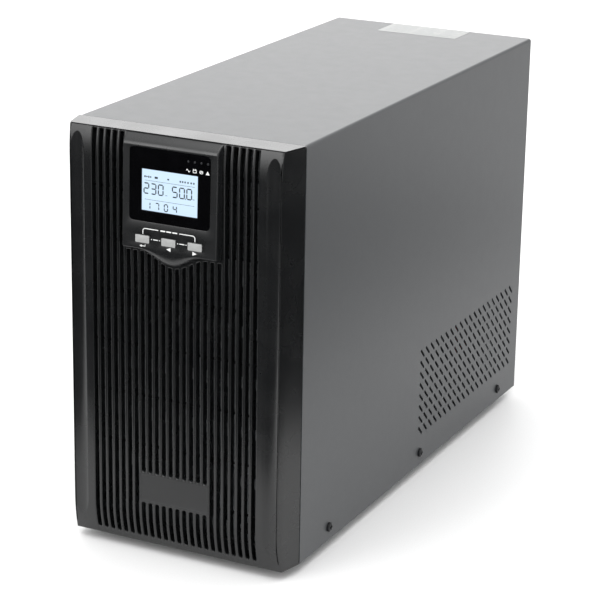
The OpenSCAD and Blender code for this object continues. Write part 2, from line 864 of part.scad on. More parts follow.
module breaker_nut() {
    color("#1b1c1e") rear_frame(breaker_place) difference() {
        cylinder(h = 3, d = 22, $fn = 12);
        translate([0, 0, -1]) cylinder(h = 5, d = breaker_d + 0.1);
    }
}

module breaker_button() {
    color("#d9d9d4") rear_frame(breaker_place) {
        translate([0, 0, -breaker_reach]) cylinder(h = breaker_reach + 5.5, d = 8.4);
        translate([0, 0, 5.4]) cylinder(h = 1, d1 = 8.4, d2 = 6.6);
    }
}

module earth_stud() {
    color("#c9b26a") rear_frame(stud_place) {
        translate([0, 0, -sheet - 6]) cylinder(h = stud_stand + sheet + 6, r = stud_r);
        cylinder(h = 2, d = 9.2, $fn = 6);
        translate([0, 0, -sheet - 3]) cylinder(h = 3, d = 9.2, $fn = 6);
    }
}

// ---------- Battery bay ----------

function shelf_z(level) = sheet + gap + level * shelf_pitch;

module battery(column, level) {
    size = battery_size;
    bottom = shelf_z(level) + sheet + 0.1;
    color("#34373b") case_frame() translate([column * battery_x, bay_y, bottom]) {
        box([-size[0] / 2, 0, 0], [size[0] / 2, size[1], size[2] - 3]);
        box([-size[0] / 2 + 1.5, 1.5, size[2] - 4], [size[0] / 2 - 1.5, size[1] - 1.5, size[2]]);
    }
}

module battery_1() {
    battery(-1, 0);
}

module battery_2() {
    battery(1, 0);
}

module battery_3() {
    battery(-1, 1);
}

module battery_4() {
    battery(1, 1);
}

module battery_5() {
    battery(-1, 2);
}

module battery_6() {
    battery(1, 2);
}

module battery_tabs() {
    color("#c8c4b4") case_frame() for (column = [-1, 1], level = [0 : 2], side = [-1, 1])
        translate([column * battery_x + side * 20, bay_y + battery_size[1] - 12,
            shelf_z(level) + sheet + 0.1 + battery_size[2]]) box([-3.2, -0.4, 0], [3.2, 0.4, 6]);
}

module battery_cage() {
    y0 = bay_y - 2;
    y1 = bay_y + battery_size[1] + 3;
    top = shelf_z(3) - 4;
    color("#8d9093") case_frame() difference() {
        union() {
            for (x = [-1, 1]) box([x > 0 ? cage_x : -cage_x - sheet, y0, shelf_z(0)],
                [x > 0 ? cage_x + sheet : -cage_x, y1, top]);
            for (level = [0 : 2]) box([-cage_x - 0.1, y0, shelf_z(level)], [cage_x + 0.1, y1, shelf_z(level) + sheet]);
            for (level = [0 : 2]) box([-cage_x, y1 - sheet, shelf_z(level)], [cage_x, y1, shelf_z(level) + 16]);
        }
        for (level = [0 : 2], y = [50, 120]) translate([0, y, shelf_z(level) + 50])
            rotate([0, 90, 0]) cylinder(h = 2 * cage_x + 10, d = 30, center = true);
    }
}

module battery_leads() {
    y = bay_y + battery_size[1] - 12;
    tab_x = battery_x + 20;
    color("#b3261e") case_frame() for (level = [0 : 2]) {
        top = shelf_z(level) + sheet + 0.1 + battery_size[2];
        lead([[-tab_x + 6, y, top + 4], [-tab_x + 6, y + 17, top + 4], [-tab_x + 6, y + 17, top - 9],
            [battery_x, y + 17, top - 9], [battery_x, y + 17, top + 4], [battery_x, y, top + 4]], 3.6);
    }
}

// ---------- Electronics ----------

module board_bracket() {
    color("#8d9093") case_frame() {
        box([bracket_x, board_y[0] - 4, board_z[0] - 4], [bracket_x + sheet, board_y[1] + 4, board_z[1] + 4]);
        for (y = [board_y[0] - 4, board_y[1] - 16])
            box([bracket_x, y, sheet + gap], [bracket_x + sheet, y + 20, board_z[0]]);
        for (y = [board_y[0] - 4, board_y[1] - 16])
            box([bracket_x - 14, y, sheet + gap], [bracket_x + 0.1, y + 20, 2 * sheet + gap]);
        for (y = [board_y[0] + 6, board_y[1] - 6], z = [board_z[0] + 6, board_z[1] - 6])
            translate([board_x + board_t, y, z]) rotate([0, 90, 0])
                cylinder(h = bracket_x - board_x - board_t + 0.1, d = 6);
    }
}

module main_board() {
    color("#1f5c34") case_frame()
        box([board_x, board_y[0], board_z[0]], [board_x + board_t, board_y[1], board_z[1]]);
}

module heatsinks() {
    fin_h = 34;
    color("#9aa0a5") case_frame() for (z = [150, 240]) translate([board_x, board_y[0] + 14, z]) {
        box([-46, 0, 0], [0, 110, 4]);
        for (i = [0 : 7]) box([-46 + i * 6, 0, 0], [-44.4 + i * 6, 110, fin_h]);
    }
}

module bulk_capacitors() {
    color("#30414f") case_frame() for (i = [0 : 2], j = [0 : 1])
        translate([board_x, board_y[1] - 24 - j * 36, board_z[0] + 26 + i * 36])
            rotate([0, -90, 0]) cylinder(h = 45, d = 30);
}

module chokes() {
    color("#6e4a2c") case_frame() for (y = [210, 290]) translate([-40, y, sheet + gap]) difference() {
        union() {
            box([-30, -25, 0], [30, 25, 60]);
            translate([0, 0, 30]) rotate([90, 0, 0]) cylinder(h = 62, d = 42, center = true);
        }
        translate([0, 0, 30]) rotate([90, 0, 0]) cylinder(h = 80, d = 14, center = true);
    }
}

module control_board() {
    color("#1f5c34") case_frame() {
        box([board_x - 62, board_y[0] + 20, board_z[1] - 12], [board_x, board_y[0] + 150, board_z[1] - 10.4]);
        for (i = [0 : 3]) box([board_x - 52 + i * 11, board_y[0] + 40, board_z[1] - 10.5],
            [board_x - 46 + i * 11, board_y[0] + 62, board_z[1] - 7]);
    }
}

module mains_wiring() {
    deep = case_d - 46;
    color("#7a4a22") case_frame() {
        lead([[inlet_place[0], case_d - 34.1, inlet_place[1] - 3.4], [inlet_place[0], deep, inlet_place[1] - 3.4],
            [-78, deep, inlet_place[1] - 3.4], [-78, deep, breaker_place[1]],
            [breaker_place[0], deep, breaker_place[1]], [breaker_place[0], case_d - 38, breaker_place[1]]], 4);
        lead([[outlet_places[1][0], case_d - outlet_depth, 40], [outlet_places[1][0], deep, 40],
            [outlet_places[1][0], deep, 100], [outlet_places[1][0], 308, 100],
            [outlet_places[1][0], 308, 132], [board_x, 308, 132]], 4);
    }
}

wrap_cover();
base_pan();
rear_panel();
front_plate();
front_bezel();
badge_plate();
display_housing();
display_window();
lcd_panel();
display_board();
status_leds();
tact_switches();
enter_button();
left_button();
right_button();
display_cable();
top_label();
side_screws();
rear_screws();
feet();
foot_screws();
fan_frame_left();
fan_frame_right();
fan_rotor_left();
fan_rotor_right();
fan_guard_left();
fan_guard_right();
fan_screws();
slot_cover();
serial_port();
usb_port();
surge_jacks();
shutdown_terminal();
outlet_1();
outlet_2();
outlet_3();
outlet_4();
high_current_outlet();
power_inlet();
inlet_blades();
input_breaker();
breaker_nut();
breaker_button();
earth_stud();
battery_1();
battery_2();
battery_3();
battery_4();
battery_5();
battery_6();
battery_tabs();
battery_cage();
battery_leads();
board_bracket();
main_board();
heatsinks();
bulk_capacitors();
chokes();
control_board();
mains_wiring();
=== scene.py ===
"""Looks of a tower uninterruptible power supply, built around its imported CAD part."""

import json
import math

import bpy
import numpy as np
from mathutils import Matrix, Vector


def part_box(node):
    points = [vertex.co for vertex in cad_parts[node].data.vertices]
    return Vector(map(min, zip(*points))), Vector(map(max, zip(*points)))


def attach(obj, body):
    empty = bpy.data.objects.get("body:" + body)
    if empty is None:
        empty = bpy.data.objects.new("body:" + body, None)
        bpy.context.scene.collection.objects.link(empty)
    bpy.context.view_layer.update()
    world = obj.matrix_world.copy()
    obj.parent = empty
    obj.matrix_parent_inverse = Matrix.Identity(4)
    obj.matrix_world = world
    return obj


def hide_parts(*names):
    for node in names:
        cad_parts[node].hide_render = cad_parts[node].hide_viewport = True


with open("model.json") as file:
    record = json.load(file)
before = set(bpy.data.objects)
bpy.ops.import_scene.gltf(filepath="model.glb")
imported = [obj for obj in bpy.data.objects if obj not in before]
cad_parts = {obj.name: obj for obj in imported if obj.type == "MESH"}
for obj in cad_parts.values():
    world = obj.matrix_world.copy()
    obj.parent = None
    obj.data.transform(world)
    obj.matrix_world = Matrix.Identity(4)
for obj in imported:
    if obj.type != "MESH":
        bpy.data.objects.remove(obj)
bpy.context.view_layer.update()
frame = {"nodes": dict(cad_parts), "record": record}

bl_info = {
    "name": "Tower power supply",
    "version": (1, 0, 0),
    "blender": (4, 5, 0),
    "location": "3D View > Sidebar > Power supply",
    "description": "Makes the bezel, display, fans, sockets and finishes of a tower power supply",
    "category": "Add Mesh",
}

MM = 0.001
# The case's own frame, in millimetres, starts at the seam behind the bezel, on the case's bottom edge
ORIGIN = np.array([0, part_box("wrap_cover")[0].y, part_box("wrap_cover")[0].z]) / MM


def node_box(node):
    """Lowest and highest corners of a CAD node, in millimetres in the case's frame."""
    low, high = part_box(node)
    return np.array(low) / MM - ORIGIN, np.array(high) / MM - ORIGIN


CASE_HALF, CASE_D, CASE_H = node_box("wrap_cover")[1]
BEZEL_D = -node_box("front_bezel")[0][1]
X, Y, Z = np.eye(3)

# ---------- Sizes and colours ----------


def linear(code):
    """Linear red, green and blue of an sRGB hex colour."""
    value = np.array([int(code[i : i + 2], 16) for i in (1, 3, 5)]) / 255
    return tuple(np.where(value <= 0.04045, value / 12.92, ((value + 0.055) / 1.055) ** 2.4))


def length(name, description, size):
    """A length property whose default is given in millimetres."""
    return bpy.props.FloatProperty(
        name=name, description=description, default=size * MM, min=0, precision=5, subtype="DISTANCE",
        unit="LENGTH"
    )


def colour(name, description, code):
    """A colour property whose default is an sRGB hex value."""
    return bpy.props.FloatVectorProperty(
        name=name, description=description, default=linear(code), min=0, max=1, subtype="COLOR"
    )


class BezelSizes(bpy.types.PropertyGroup):
    """Sizes of the ribbed bezel that its maker might change."""

    rib_edge: length("Rib edge radius", "Radius of the moulded edge along each grille rib", 1.0)
    flute_depth: length("Flute depth", "Depth of the concave flute in each pillar", 1.5)
    groove_depth: length("Groove depth", "Depth of the thin groove beside each front corner", 1.5)
    seam_gap: length("Seam", "Gap between the bezel and the steel case", 0.35)
    badge_edge: length("Badge edge radius", "Radius of the edge of the blank badge plate", 0.3)


class DisplaySizes(bpy.types.PropertyGroup):
    """Sizes of the display housing and of what is on it."""

    print_w: length("Print width", "Width of the printed white lines", 0.62)
    segment_w: length("Segment width", "Width of a segment of a large digit", 0.9)
    button_edge: length("Button edge radius", "Radius of the edge of each push button", 0.45)
    button_crown: length("Button crown", "How far the middle of each button bulges", 0.12)
    glow: bpy.props.FloatProperty(
        name="Screen glow", description="Strength of the light behind the screen", default=1.0, min=0
    )


class FanSizes(bpy.types.PropertyGroup):
    """Sizes of the cooling fans."""

    blades: bpy.props.IntProperty(
        name="Blades", description="Number of blades on each rotor", default=7, min=3
    )
    hub_pitch: bpy.props.FloatProperty(
        name="Hub pitch", description="Pitch of a blade at the hub", default=math.radians(50),
        subtype="ANGLE"
    )
    tip_pitch: bpy.props.FloatProperty(
        name="Tip pitch", description="Pitch of a blade at its tip", default=math.radians(30),
        subtype="ANGLE"
    )
    blade_t: length("Blade thickness", "Greatest thickness of a blade", 1.5)


class Finishes(bpy.types.PropertyGroup):
    """Colours of the finishes."""

    steel: colour("Powder coat", "Colour of the powder-coated steel", "#3c3e40")
    bezel: colour("Bezel", "Colour of the moulded bezel", "#101112")
    display: colour("Display housing", "Colour of the display housing", "#151617")
    screen: colour("Screen", "Colour of the lit screen", "#cfe6fb")
    button: colour("Buttons", "Colour of the push buttons", "#a9aaa9")
    socket: colour("Sockets", "Colour of the sockets", "#17181a")


class StudioSettings(bpy.types.PropertyGroup):
    """Camera and lights."""

    lens: bpy.props.FloatProperty(
        name="Lens", description="Focal length of the camera", default=133.6, subtype="DISTANCE_CAMERA"
    )
    floor: colour("Floor", "Colour of the floor", "#f4f4f4")
    key: bpy.props.FloatProperty(
        name="Overhead light", description="Power of the light overhead", default=14, min=0
    )
    back: bpy.props.FloatProperty(
        name="Back light", description="Power of the light behind", default=33, min=0
    )
    front: bpy.props.FloatProperty(
        name="Front light", description="Power of the light in front", default=14, min=0
    )
    far: bpy.props.FloatProperty(
        name="Far light", description="Power of the light over the far floor", default=20, min=0
    )


SETTINGS = {
    "supply_bezel": BezelSizes,
    "supply_display": DisplaySizes,
    "supply_fans": FanSizes,
    "supply_finishes": Finishes,
    "supply_studio": StudioSettings,
}

# ---------- Surfaces ----------


class Shell:
    """Points and faces of one piece, gathered from surfaces in millimetres in the case's frame."""

    def __init__(self):
        self.points = []
        self.faces = []
        self.count = 0

    def grid(self, points, closed=True, caps=(False, False), keep=None):
        """Adds a grid of points, row by row, with a quad between neighbouring rows and columns.

        A closed grid joins its last column to its first, and a cap closes the first or the last row. Rows
        run anticlockwise seen from outside, and go up an outer side, inwards over a top or down a hole.
        Where keep is given, it says which columns get their quads."""
        rows, columns = points.shape[:2]
        index = np.arange(rows * columns).reshape(rows, columns) + self.count
        ring = np.hstack([index, index[:, :1]]) if closed else index
        quads = np.stack([ring[:-1, :-1], ring[:-1, 1:], ring[1:, 1:], ring[1:, :-1]], -1)
        if keep is not None:
            quads = quads[:, keep]
        self.faces += quads.reshape(-1, 4).tolist()
        if caps[0]:
            self.faces.append(index[0, ::-1].tolist())
        if caps[1]:
            self.faces.append(index[-1].tolist())
        self.points.append(points.reshape(-1, 3))
        self.count += rows * columns

    def welded(self, reach=1e-3):
        """The same shell with points that are closer than reach made one."""
        points = np.vstack(self.points)
        _, first, joined = np.unique(
            np.round(points / reach), axis=0, return_index=True, return_inverse=True
        )
        joined = joined.ravel()
        self.points = [points[first]]
        self.count = len(first)
        self.faces = [joined[face].tolist() for face in self.faces]
        return self

    def join(self, other):
        """Adds another shell's points and faces."""
        self.faces += [[i + self.count for i in face] for face in other.faces]
        self.points += other.points
        self.count += other.count


def make_piece(name, shell, material, body="case", replaces=(), sharp=38, bevel=0):
    """A smooth mesh piece from a shell, with edges sharper than an angle in degrees kept sharp or
    bevelled."""
    mesh = bpy.data.meshes.new(name)
    mesh.from_pydata((np.vstack(shell.points) + ORIGIN) * MM, [], shell.faces)
    mesh.polygons.foreach_set("use_smooth", np.ones(len(mesh.polygons), bool))
    mesh.set_sharp_from_angle(angle=math.radians(sharp))
    mesh.materials.append(material)
    piece = bpy.data.objects.new(name, mesh)
    bpy.context.scene.collection.objects.link(piece)
    if bevel:
        edges = piece.modifiers.new("edges", "BEVEL")
        edges.width, edges.segments, edges.limit_method = bevel * MM, 2, "ANGLE"
    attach(piece, body)
    if replaces:
        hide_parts(*replaces)
    return piece


def placed(origin, x_axis=X, y_axis=Z):
    """A function that puts local (x, y, out) points at an origin, with out square to the two axes."""
    axes = np.array([x_axis, y_axis, np.cross(x_axis, y_axis)])
    return lambda points: np.asarray(points) @ axes + np.asarray(origin)


def rear(x, z, stand=0):
    """Local frame at a height off the rear panel, with y down and out to the back."""
    return placed([x, CASE_D + stand, z], X, -Z)


def raised(outline, out):
    """An outline's points with a third coordinate, one height or a height for each."""
    return np.column_stack([outline, np.broadcast_to(out, len(outline))])


def rectangle(width, height, centre=(0, 0)):
    """Corners of a rectangle, anticlockwise."""
    return np.array([[1, 1], [-1, 1], [-1, -1], [1, -1]]) * [width / 2, height / 2] + centre


def rounded(corners, radius, steps=4):
    """An outline whose corners are rounded: each one becomes a parabola from a radius before it to a radius
    after, the corner plus (1 - t) squared of the way back and t squared of the way on."""
    before = np.roll(corners, 1, 0) - corners
    after = np.roll(corners, -1, 0) - corners
    before = before / np.linalg.norm(before, axis=1, keepdims=True)
    after = after / np.linalg.norm(after, axis=1, keepdims=True)
    t = np.linspace(0, 1, steps + 1)[None, :, None]
    points = corners[:, None] + radius * (before[:, None] * (1 - t) ** 2 + after[:, None] * t**2)
    return points.reshape(-1, 2)


def circle(radius, sides=48, centre=(0, 0)):
    """Points evenly round a circle, anticlockwise."""
    angle = np.linspace(0, 2 * np.pi, sides, endpoint=False)
    return np.column_stack([np.cos(angle), np.sin(angle)]) * radius + centre


def inset(outline, distance):
    """An outline moved inwards: each point goes along the mean of its two edges' inward normals."""
    edge = np.roll(outline, -1, 0) - outline
    size = np.linalg.norm(edge, axis=1, keepdims=True)
    normal = np.column_stack([-edge[:, 1], edge[:, 0]]) / np.maximum(size, 1e-9)
    normal = normal + np.roll(normal, 1, 0)
    return outline + distance * normal / np.maximum(np.linalg.norm(normal, axis=1, keepdims=True), 1e-9)


def on_rays(outline, angles, centre):
    """Where rays from a centre meet an outline that each crosses once: a ray at an angle meets the edge
    between the outline's two points on either side of that angle."""
    points = outline - centre
    turn = np.arctan2(points[:, 1], points[:, 0]) % (2 * np.pi)
    order = np.argsort(turn)
    points, turn = points[order], turn[order]
    start = points[np.searchsorted(turn, angles + 1e-9) - 1]
    end = points[np.searchsorted(turn, angles + 1e-9) % len(points)]
    edge = end - start
    ray = np.column_stack([np.cos(angles), np.sin(angles)])
    reach = (start[:, 0] * edge[:, 1] - start[:, 1] * edge[:, 0]) / (
        ray[:, 0] * edge[:, 1] - ray[:, 1] * edge[:, 0]
    )
    return ray * reach[:, None] + centre


def loft(levels, centre=(0, 0)):
    """Grid through levels, each an outline and its height: every outline is cut by the same rays from a
    centre, at the angles of all the outlines' points, so that points on one ray join up."""
    turns = [np.arctan2(*(outline - centre).T[::-1]) % (2 * np.pi) for outline, _ in levels]
    angles = np.unique(np.round(np.concatenate(turns), 5))
    return np.array([raised(on_rays(outline, angles, centre), out) for outline, out in levels])


def turned(profile, sides=48):
    """Grid of a profile of (radius, height) points turned round the axis."""
    profile = np.asarray(profile, float)
    ring = circle(1, sides)
    flat = profile[:, None, :1] * ring[None]
    return np.concatenate([flat, np.broadcast_to(profile[:, None, 1:], (*flat.shape[:2], 1))], -1)


def tube(path, radius, sides=10, closed=False):
    """Grid of a round wire along a flat path: at each point the section is the radius times cosine of an
    angle to the path's side and times its sine upwards."""
    path = np.asarray(path, float)
    if closed:
        ahead = np.roll(path, -1, 0) - np.roll(path, 1, 0)
        path, ahead = np.vstack([path, path[:1]]), np.vstack([ahead, ahead[:1]])
    else:
        ahead = np.gradient(path, axis=0)
    side = np.cross([0, 0, 1], ahead / np.linalg.norm(ahead, axis=1, keepdims=True))
    angle = np.linspace(0, 2 * np.pi, sides, endpoint=False)
    wide = np.cos(angle)[None, :, None] * side[:, None]
    tall = np.sin(angle)[None, :, None] * np.array([0, 0, 1.0])
    return path[:, None] + radius * (wide + tall)


def ribbon(path, width, low, high):
    """Grid of a flat printed line along a path: a rectangle of a width, between two heights, carried along
    it."""
    path = np.asarray(path, float)
    ahead = np.gradient(path, axis=0)
    ahead = ahead / np.linalg.norm(ahead, axis=1, keepdims=True)
    side = np.column_stack([-ahead[:, 1], ahead[:, 0]]) * width / 2
    corners = [(side, low), (side, high), (-side, high), (-side, low)]
    return np.stack([raised(path + offset, out) for offset, out in corners], 1)


def edge_profile(radius, steps=4):
    """Offsets outwards and depths along a rounded edge: the radius less its sine, and less its cosine."""
    angle = np.linspace(0, np.pi / 2, steps + 1)
    return [(radius - radius * s, radius - radius * c) for s, c in zip(np.sin(angle), np.cos(angle))]


def hole_ring(cell, hole, radii, levels=(), top=None):
    """Centres, radii, directions and border points round a rounded hole in a rectangular cell,
    anticlockwise.

    Each corner of the hole is a quarter circle in 15 degree steps, with one radius for the two lower corners
    and one for the upper, and its upright sides have points at the levels given. A direction leads straight
    out of the hole. A border point is where the direction, stretched until its longer part is 1, meets the
    cell's border, so a 45 degree point meets a corner. A top function bends the upper border, and the hole's
    upper corners with it."""
    (x0, y0), (x1, y1) = cell
    (u0, v0), (u1, v1) = hole
    low, high = radii
    corner = np.radians(np.arange(0, 91, 15))
    middle = float(top((u0 + u1) / 2)) if top else 0
    parts = []
    corners = [
        (u1 - high, v1, high), (u0 + high, v1, high), (u0 + low, v0 + low, low), (u1 - low, v0 + low, low)
    ]
    for turn, (u, v, radius) in enumerate(corners):
        if turn < 2:
            v = v - high + (float(top(u)) - middle if top else 0)
        parts.append((np.tile([u, v, radius], (len(corner), 1)), turn * np.pi / 2 + corner))
    for after, back in ((1, -1), (3, 1)):
        ends = parts[after][0][-1, 1], parts[(after + 1) % 4][0][0, 1]
        along = np.array([y for y in levels if min(ends) < y < max(ends)])[::back]
        share = (along - ends[0]) / (ends[1] - ends[0])
        row = parts[after][0][-1] + share[:, None] * (parts[(after + 1) % 4][0][0] - parts[after][0][-1])
        parts[after] = (
            np.vstack([parts[after][0], row]),
            np.concatenate([parts[after][1], np.full(len(along), (after + 1) * np.pi / 2)]),
        )
    centres = np.vstack([part[0] for part in parts])
    centres, radius = centres[:, :2], centres[:, 2:]
    angles = np.concatenate([part[1] for part in parts])
    directions = np.round(np.column_stack([np.cos(angles), np.sin(angles)]), 12)
    stretch = np.abs(directions) / np.abs(directions).max(1, keepdims=True)
    x = centres[:, 0] + (np.where(directions[:, 0] > 0, x1, x0) - centres[:, 0]) * stretch[:, 0]
    upper = top(x) if top else np.full(len(x), float(y1))
    y = centres[:, 1] + (np.where(directions[:, 1] > 0, upper, y0) - centres[:, 1]) * stretch[:, 1]
    outer = stretch > 1 - 1e-9
    on = {
        "left": outer[:, 0] & (directions[:, 0] < 0),
        "right": outer[:, 0] & (directions[:, 0] > 0),
        "low": outer[:, 1] & (directions[:, 1] < 0),
        "high": outer[:, 1] & (directions[:, 1] > 0),
    }
    return centres, radius, directions, np.column_stack([x, y]), on


def pierce(shell, surface, cell, hole, radii, profile, thickness, walls="", **shape):
    """Adds a cell of a plate with a rounded hole in it.

    Its rings go from the cell's border inwards over the front, along the profile of (offset, depth) down the
    hole, and back out to the border at the plate's thickness. surface(points, depth) places them. walls
    names the sides of the cell, from left, right, low and high, that also get an outer wall."""
    centres, radius, directions, border, on = hole_ring(cell, hole, radii, **shape)
    rings = [surface(border, 0)]
    rings += [surface(centres + directions * (radius + out), depth) for out, depth in profile]
    rings.append(surface(border, thickness))
    shell.grid(np.array(rings), caps=(False, False))
    for name in walls.split():
        wall = np.array([surface(border, thickness), surface(border, 0)])
        shell.grid(wall, keep=on[name] & np.roll(on[name], -1))

# ---------- Bezel ----------

SLOT_PITCH, SLOT_W, SLOT_COUNT = 5.9, 3.3, 24
RIB_DEPTH, BAR_D, BAR_H = 6, 1.4, 2
CAP_H = 0.8
FIELD_HALF = SLOT_COUNT * SLOT_PITCH / 2
CORNER_X = 88.6
BOTTOM_EASE, BOTTOM_EASE_H = 5.2, 30
TOP_EASE, TOP_EASE_H = 2.6, 24
SLOT_LOW = 5.5
BADGE_LOW, BADGE_HIGH = node_box("badge_plate")
BADGE_SLOTS, UNDER_SLOTS = 10, 14
CROSSBARS = [17] + [39 + 40 * i for i in range(7)]
FLUTE_X, FLUTE_HALF = 82, 6

DISPLAY_HALF = node_box("display_housing")[1][0]
EDGE_Z, DIP, DIP_HALF, RIM = 239, 10, 28, 3


def front_y(z):
    """Front surface of the bezel: flat, but easing back as a square over its lowest and highest
    stretches."""
    low = np.clip(BOTTOM_EASE_H - z, 0, None) / BOTTOM_EASE_H
    high = np.clip(z - CASE_H + TOP_EASE_H, 0, None) / TOP_EASE_H
    return -BEZEL_D + BOTTOM_EASE * low**2 + TOP_EASE * high**2


def side_x(y):
    """Half width of the bezel, which narrows evenly from the seam to its front corners."""
    return CASE_HALF + (CASE_HALF - CORNER_X) * y / BEZEL_D


def wave(x):
    """Lower edge of the display: level at the sides, with one cosine wave dipping in the middle."""
    dip = np.where(np.abs(x) < DIP_HALF, 0.5 + 0.5 * np.cos(np.pi * x / DIP_HALF), 0)
    return EDGE_Z - DIP * dip


def bezel_surface(points, depth):
    """Points (x, z) at a depth behind the bezel's front surface."""
    return np.column_stack([points[:, 0], front_y(points[:, 1]) + depth, points[:, 1]])


def grille(sizes):
    """The field of slots: 24 cells side by side, each with one slot or, at the badge, one below it and one
    above."""
    edge = sizes.rib_edge / MM
    profile = edge_profile(edge) + [(0, RIB_DEPTH - 0.3), (0.3, RIB_DEPTH)]
    levels = np.concatenate([np.linspace(0, 30, 13), np.arange(60, 300, 40), np.linspace(302, 326, 13)])
    field_top = CASE_H - CAP_H
    side_slots = (SLOT_COUNT - UNDER_SLOTS) // 2
    badge_first = (SLOT_COUNT - BADGE_SLOTS) // 2
    shells = [Shell() for _ in range(3)]
    for i in range(SLOT_COUNT):
        x = (i - (SLOT_COUNT - 1) / 2) * SLOT_PITCH
        low_x, high_x = x - SLOT_PITCH / 2, x + SLOT_PITCH / 2
        under = side_slots <= i < SLOT_COUNT - side_slots
        shell = shells[1 if under else 0 if x < 0 else 2]
        ends = "left " * (i in (0, side_slots, SLOT_COUNT - side_slots))
        ends += "right " * (i in (side_slots - 1, SLOT_COUNT - side_slots - 1, SLOT_COUNT - 1))
        top = float(wave(x)) - RIM if under else field_top - edge - 0.05
        upper = wave if under else None
        split = badge_first <= i < badge_first + BADGE_SLOTS
        spans = [(0, field_top, SLOT_LOW, top)]
        if split:
            spans = [
                (0, BADGE_LOW[2], SLOT_LOW, BADGE_LOW[2] - 1),
                (BADGE_HIGH[2], field_top, BADGE_HIGH[2] + 1, top)
            ]
        for cell_low, cell_high, low, high in spans:
            pierce(
                shell,
                bezel_surface,
                ((low_x, cell_low), (high_x, cell_high)),
                ((x - SLOT_W / 2, low), (x + SLOT_W / 2, high)),
                (SLOT_W / 2, 0.6 if high == top else SLOT_W / 2),
                profile,
                RIB_DEPTH,
                walls=ends + "low high",
                levels=levels,
                top=upper if cell_high == field_top else None,
            )
    field = Shell()
    for shell in shells:
        field.join(shell.welded())
    return field


def flute_depth(x, z, depth):
    """Depth of the flute below the bezel's front: an upright cylinder sunk into the flat front.

    Near the bottom and the top the front eases back past the cylinder, so the flute ends there in an
    arch."""
    radius = (FLUTE_HALF**2 + depth**2) / (2 * depth)
    sunk = np.sqrt(np.maximum(radius**2 - (x - FLUTE_X) ** 2, 0)) - radius + depth
    return np.maximum(sunk - front_y(z) - BEZEL_D, 0)


def pillar(side, sizes):
    """One pillar and side wall: a closed outline carried up the bezel's height, following its front surface.

    Across the front, the outline's depth is the flute's, then the groove's, then a rounded corner, and then
    it runs straight along the narrowing side to the seam and back inside the wall."""
    groove, depth, seam, wall = sizes.groove_depth / MM, sizes.flute_depth / MM, sizes.seam_gap / MM, 2.5
    heights = np.concatenate(
        [np.linspace(0, 11, 8), np.linspace(12, 19, 15), np.linspace(20, 30, 6), np.arange(60, 301, 40)]
        + [np.linspace(302, 312, 8), np.linspace(312.5, CASE_H - CAP_H, 42)]
    )[:, None]
    ease = CORNER_X - side_x(front_y(heights))
    x = np.concatenate([[FIELD_HALF, 73], np.linspace(FLUTE_X - FLUTE_HALF - 0.2, CORNER_X - 1.35, 40)])
    lip = [(1.3, groove), (0.75, groove), (0.7, 0.1), (0.45, 0), (0.16, 0.14), (0, 0.5)]
    corner_x, corner_dip = CORNER_X - np.array([a for a, _ in lip]), np.array([b for _, b in lip])
    # The groove runs out a little above the bottom and below the top
    run = np.clip((heights - 6) / 2, 0, 1) * np.clip((CASE_H - 9 - heights) / 2, 0, 1)
    corner_dip = np.where(corner_dip == groove, 0.05 + (groove - 0.05) * run, corner_dip)
    flat = flute_depth(x[None], heights, depth)
    front_x = np.broadcast_to(x, flat.shape) - ease * np.clip((x - FLUTE_X) / FLUTE_HALF, 0, 1)
    edge_x = np.broadcast_to(corner_x, corner_dip.shape) - ease
    front_back = front_y(heights)
    outer_y = front_back * np.array([[0.95, 0.7, 0.45, 0.2]])
    outer_x = side_x(outer_y)
    step = np.array([[-1.7, -1.5, -seam]])
    step_y = np.broadcast_to(step, (len(heights), 3))
    step_x = side_x(step_y) - np.array([[0, 0.45, 0.45]])
    inner_y = np.hstack(
        [np.full_like(heights, -seam), front_back + 4.2, front_back + 4.2, front_back + RIB_DEPTH]
    )
    inner_x = np.hstack([np.full_like(heights, CASE_HALF - wall), side_x(front_back) - wall - 1.5])
    inner_x = np.hstack([inner_x, np.full_like(heights, 73), np.full_like(heights, FIELD_HALF)])
    px = np.hstack([front_x, edge_x, outer_x, step_x, inner_x])
    py = np.hstack([front_back + flat, front_back + corner_dip, outer_y, step_y, inner_y])
    points = np.stack([px * side, py, np.broadcast_to(heights, px.shape)], -1)
    shell = Shell()
    shell.grid(points if side > 0 else points[:, ::-1], caps=(True, True))
    return shell


def plan(z, back):
    """Outline of the bezel seen from above at a height: its front, rounded front corners, narrowing sides
    and back."""
    front = float(front_y(np.array(z)))
    corners = [(-CASE_HALF, -back), (-side_x(front), front), (side_x(front), front), (CASE_HALF, -back)]
    return rounded(np.array(corners, float), 0.9)


def bezel_plate(low, high, edge, back, up=True):
    """A top or bottom plate of the bezel: its plan outline between two heights, with a rounded outer
    edge."""
    shell = Shell()
    rims = [(out, depth) for out, depth in edge_profile(edge)][::-1]
    far = high if up else low
    levels = [(plan(low if up else high, back), low if up else high)]
    levels += [
        (inset(plan(far, back), edge - out), far - depth if up else far + depth) for out, depth in rims
    ]
    points = np.array([raised(outline, out) for outline, out in levels])
    shell.grid(points if up else points[::-1], caps=(True, True))
    return shell


def beam(path, half_width, half_height):
    """A bar with a rounded rectangular section carried along a straight path between two points."""
    start, end = np.array(path, float)
    ahead = (end - start) / np.linalg.norm(end - start)
    up = Z if abs(ahead[2]) < 0.9 else X
    frame_at = placed(start, np.cross(up, ahead), up)
    section = rounded(rectangle(2 * half_width, 2 * half_height), min(half_width, half_height) * 0.5)
    shell = Shell()
    reach = np.linalg.norm(end - start)
    shell.grid(np.array([frame_at(raised(section, out)) for out in (0, reach)]), caps=(True, True))
    return shell


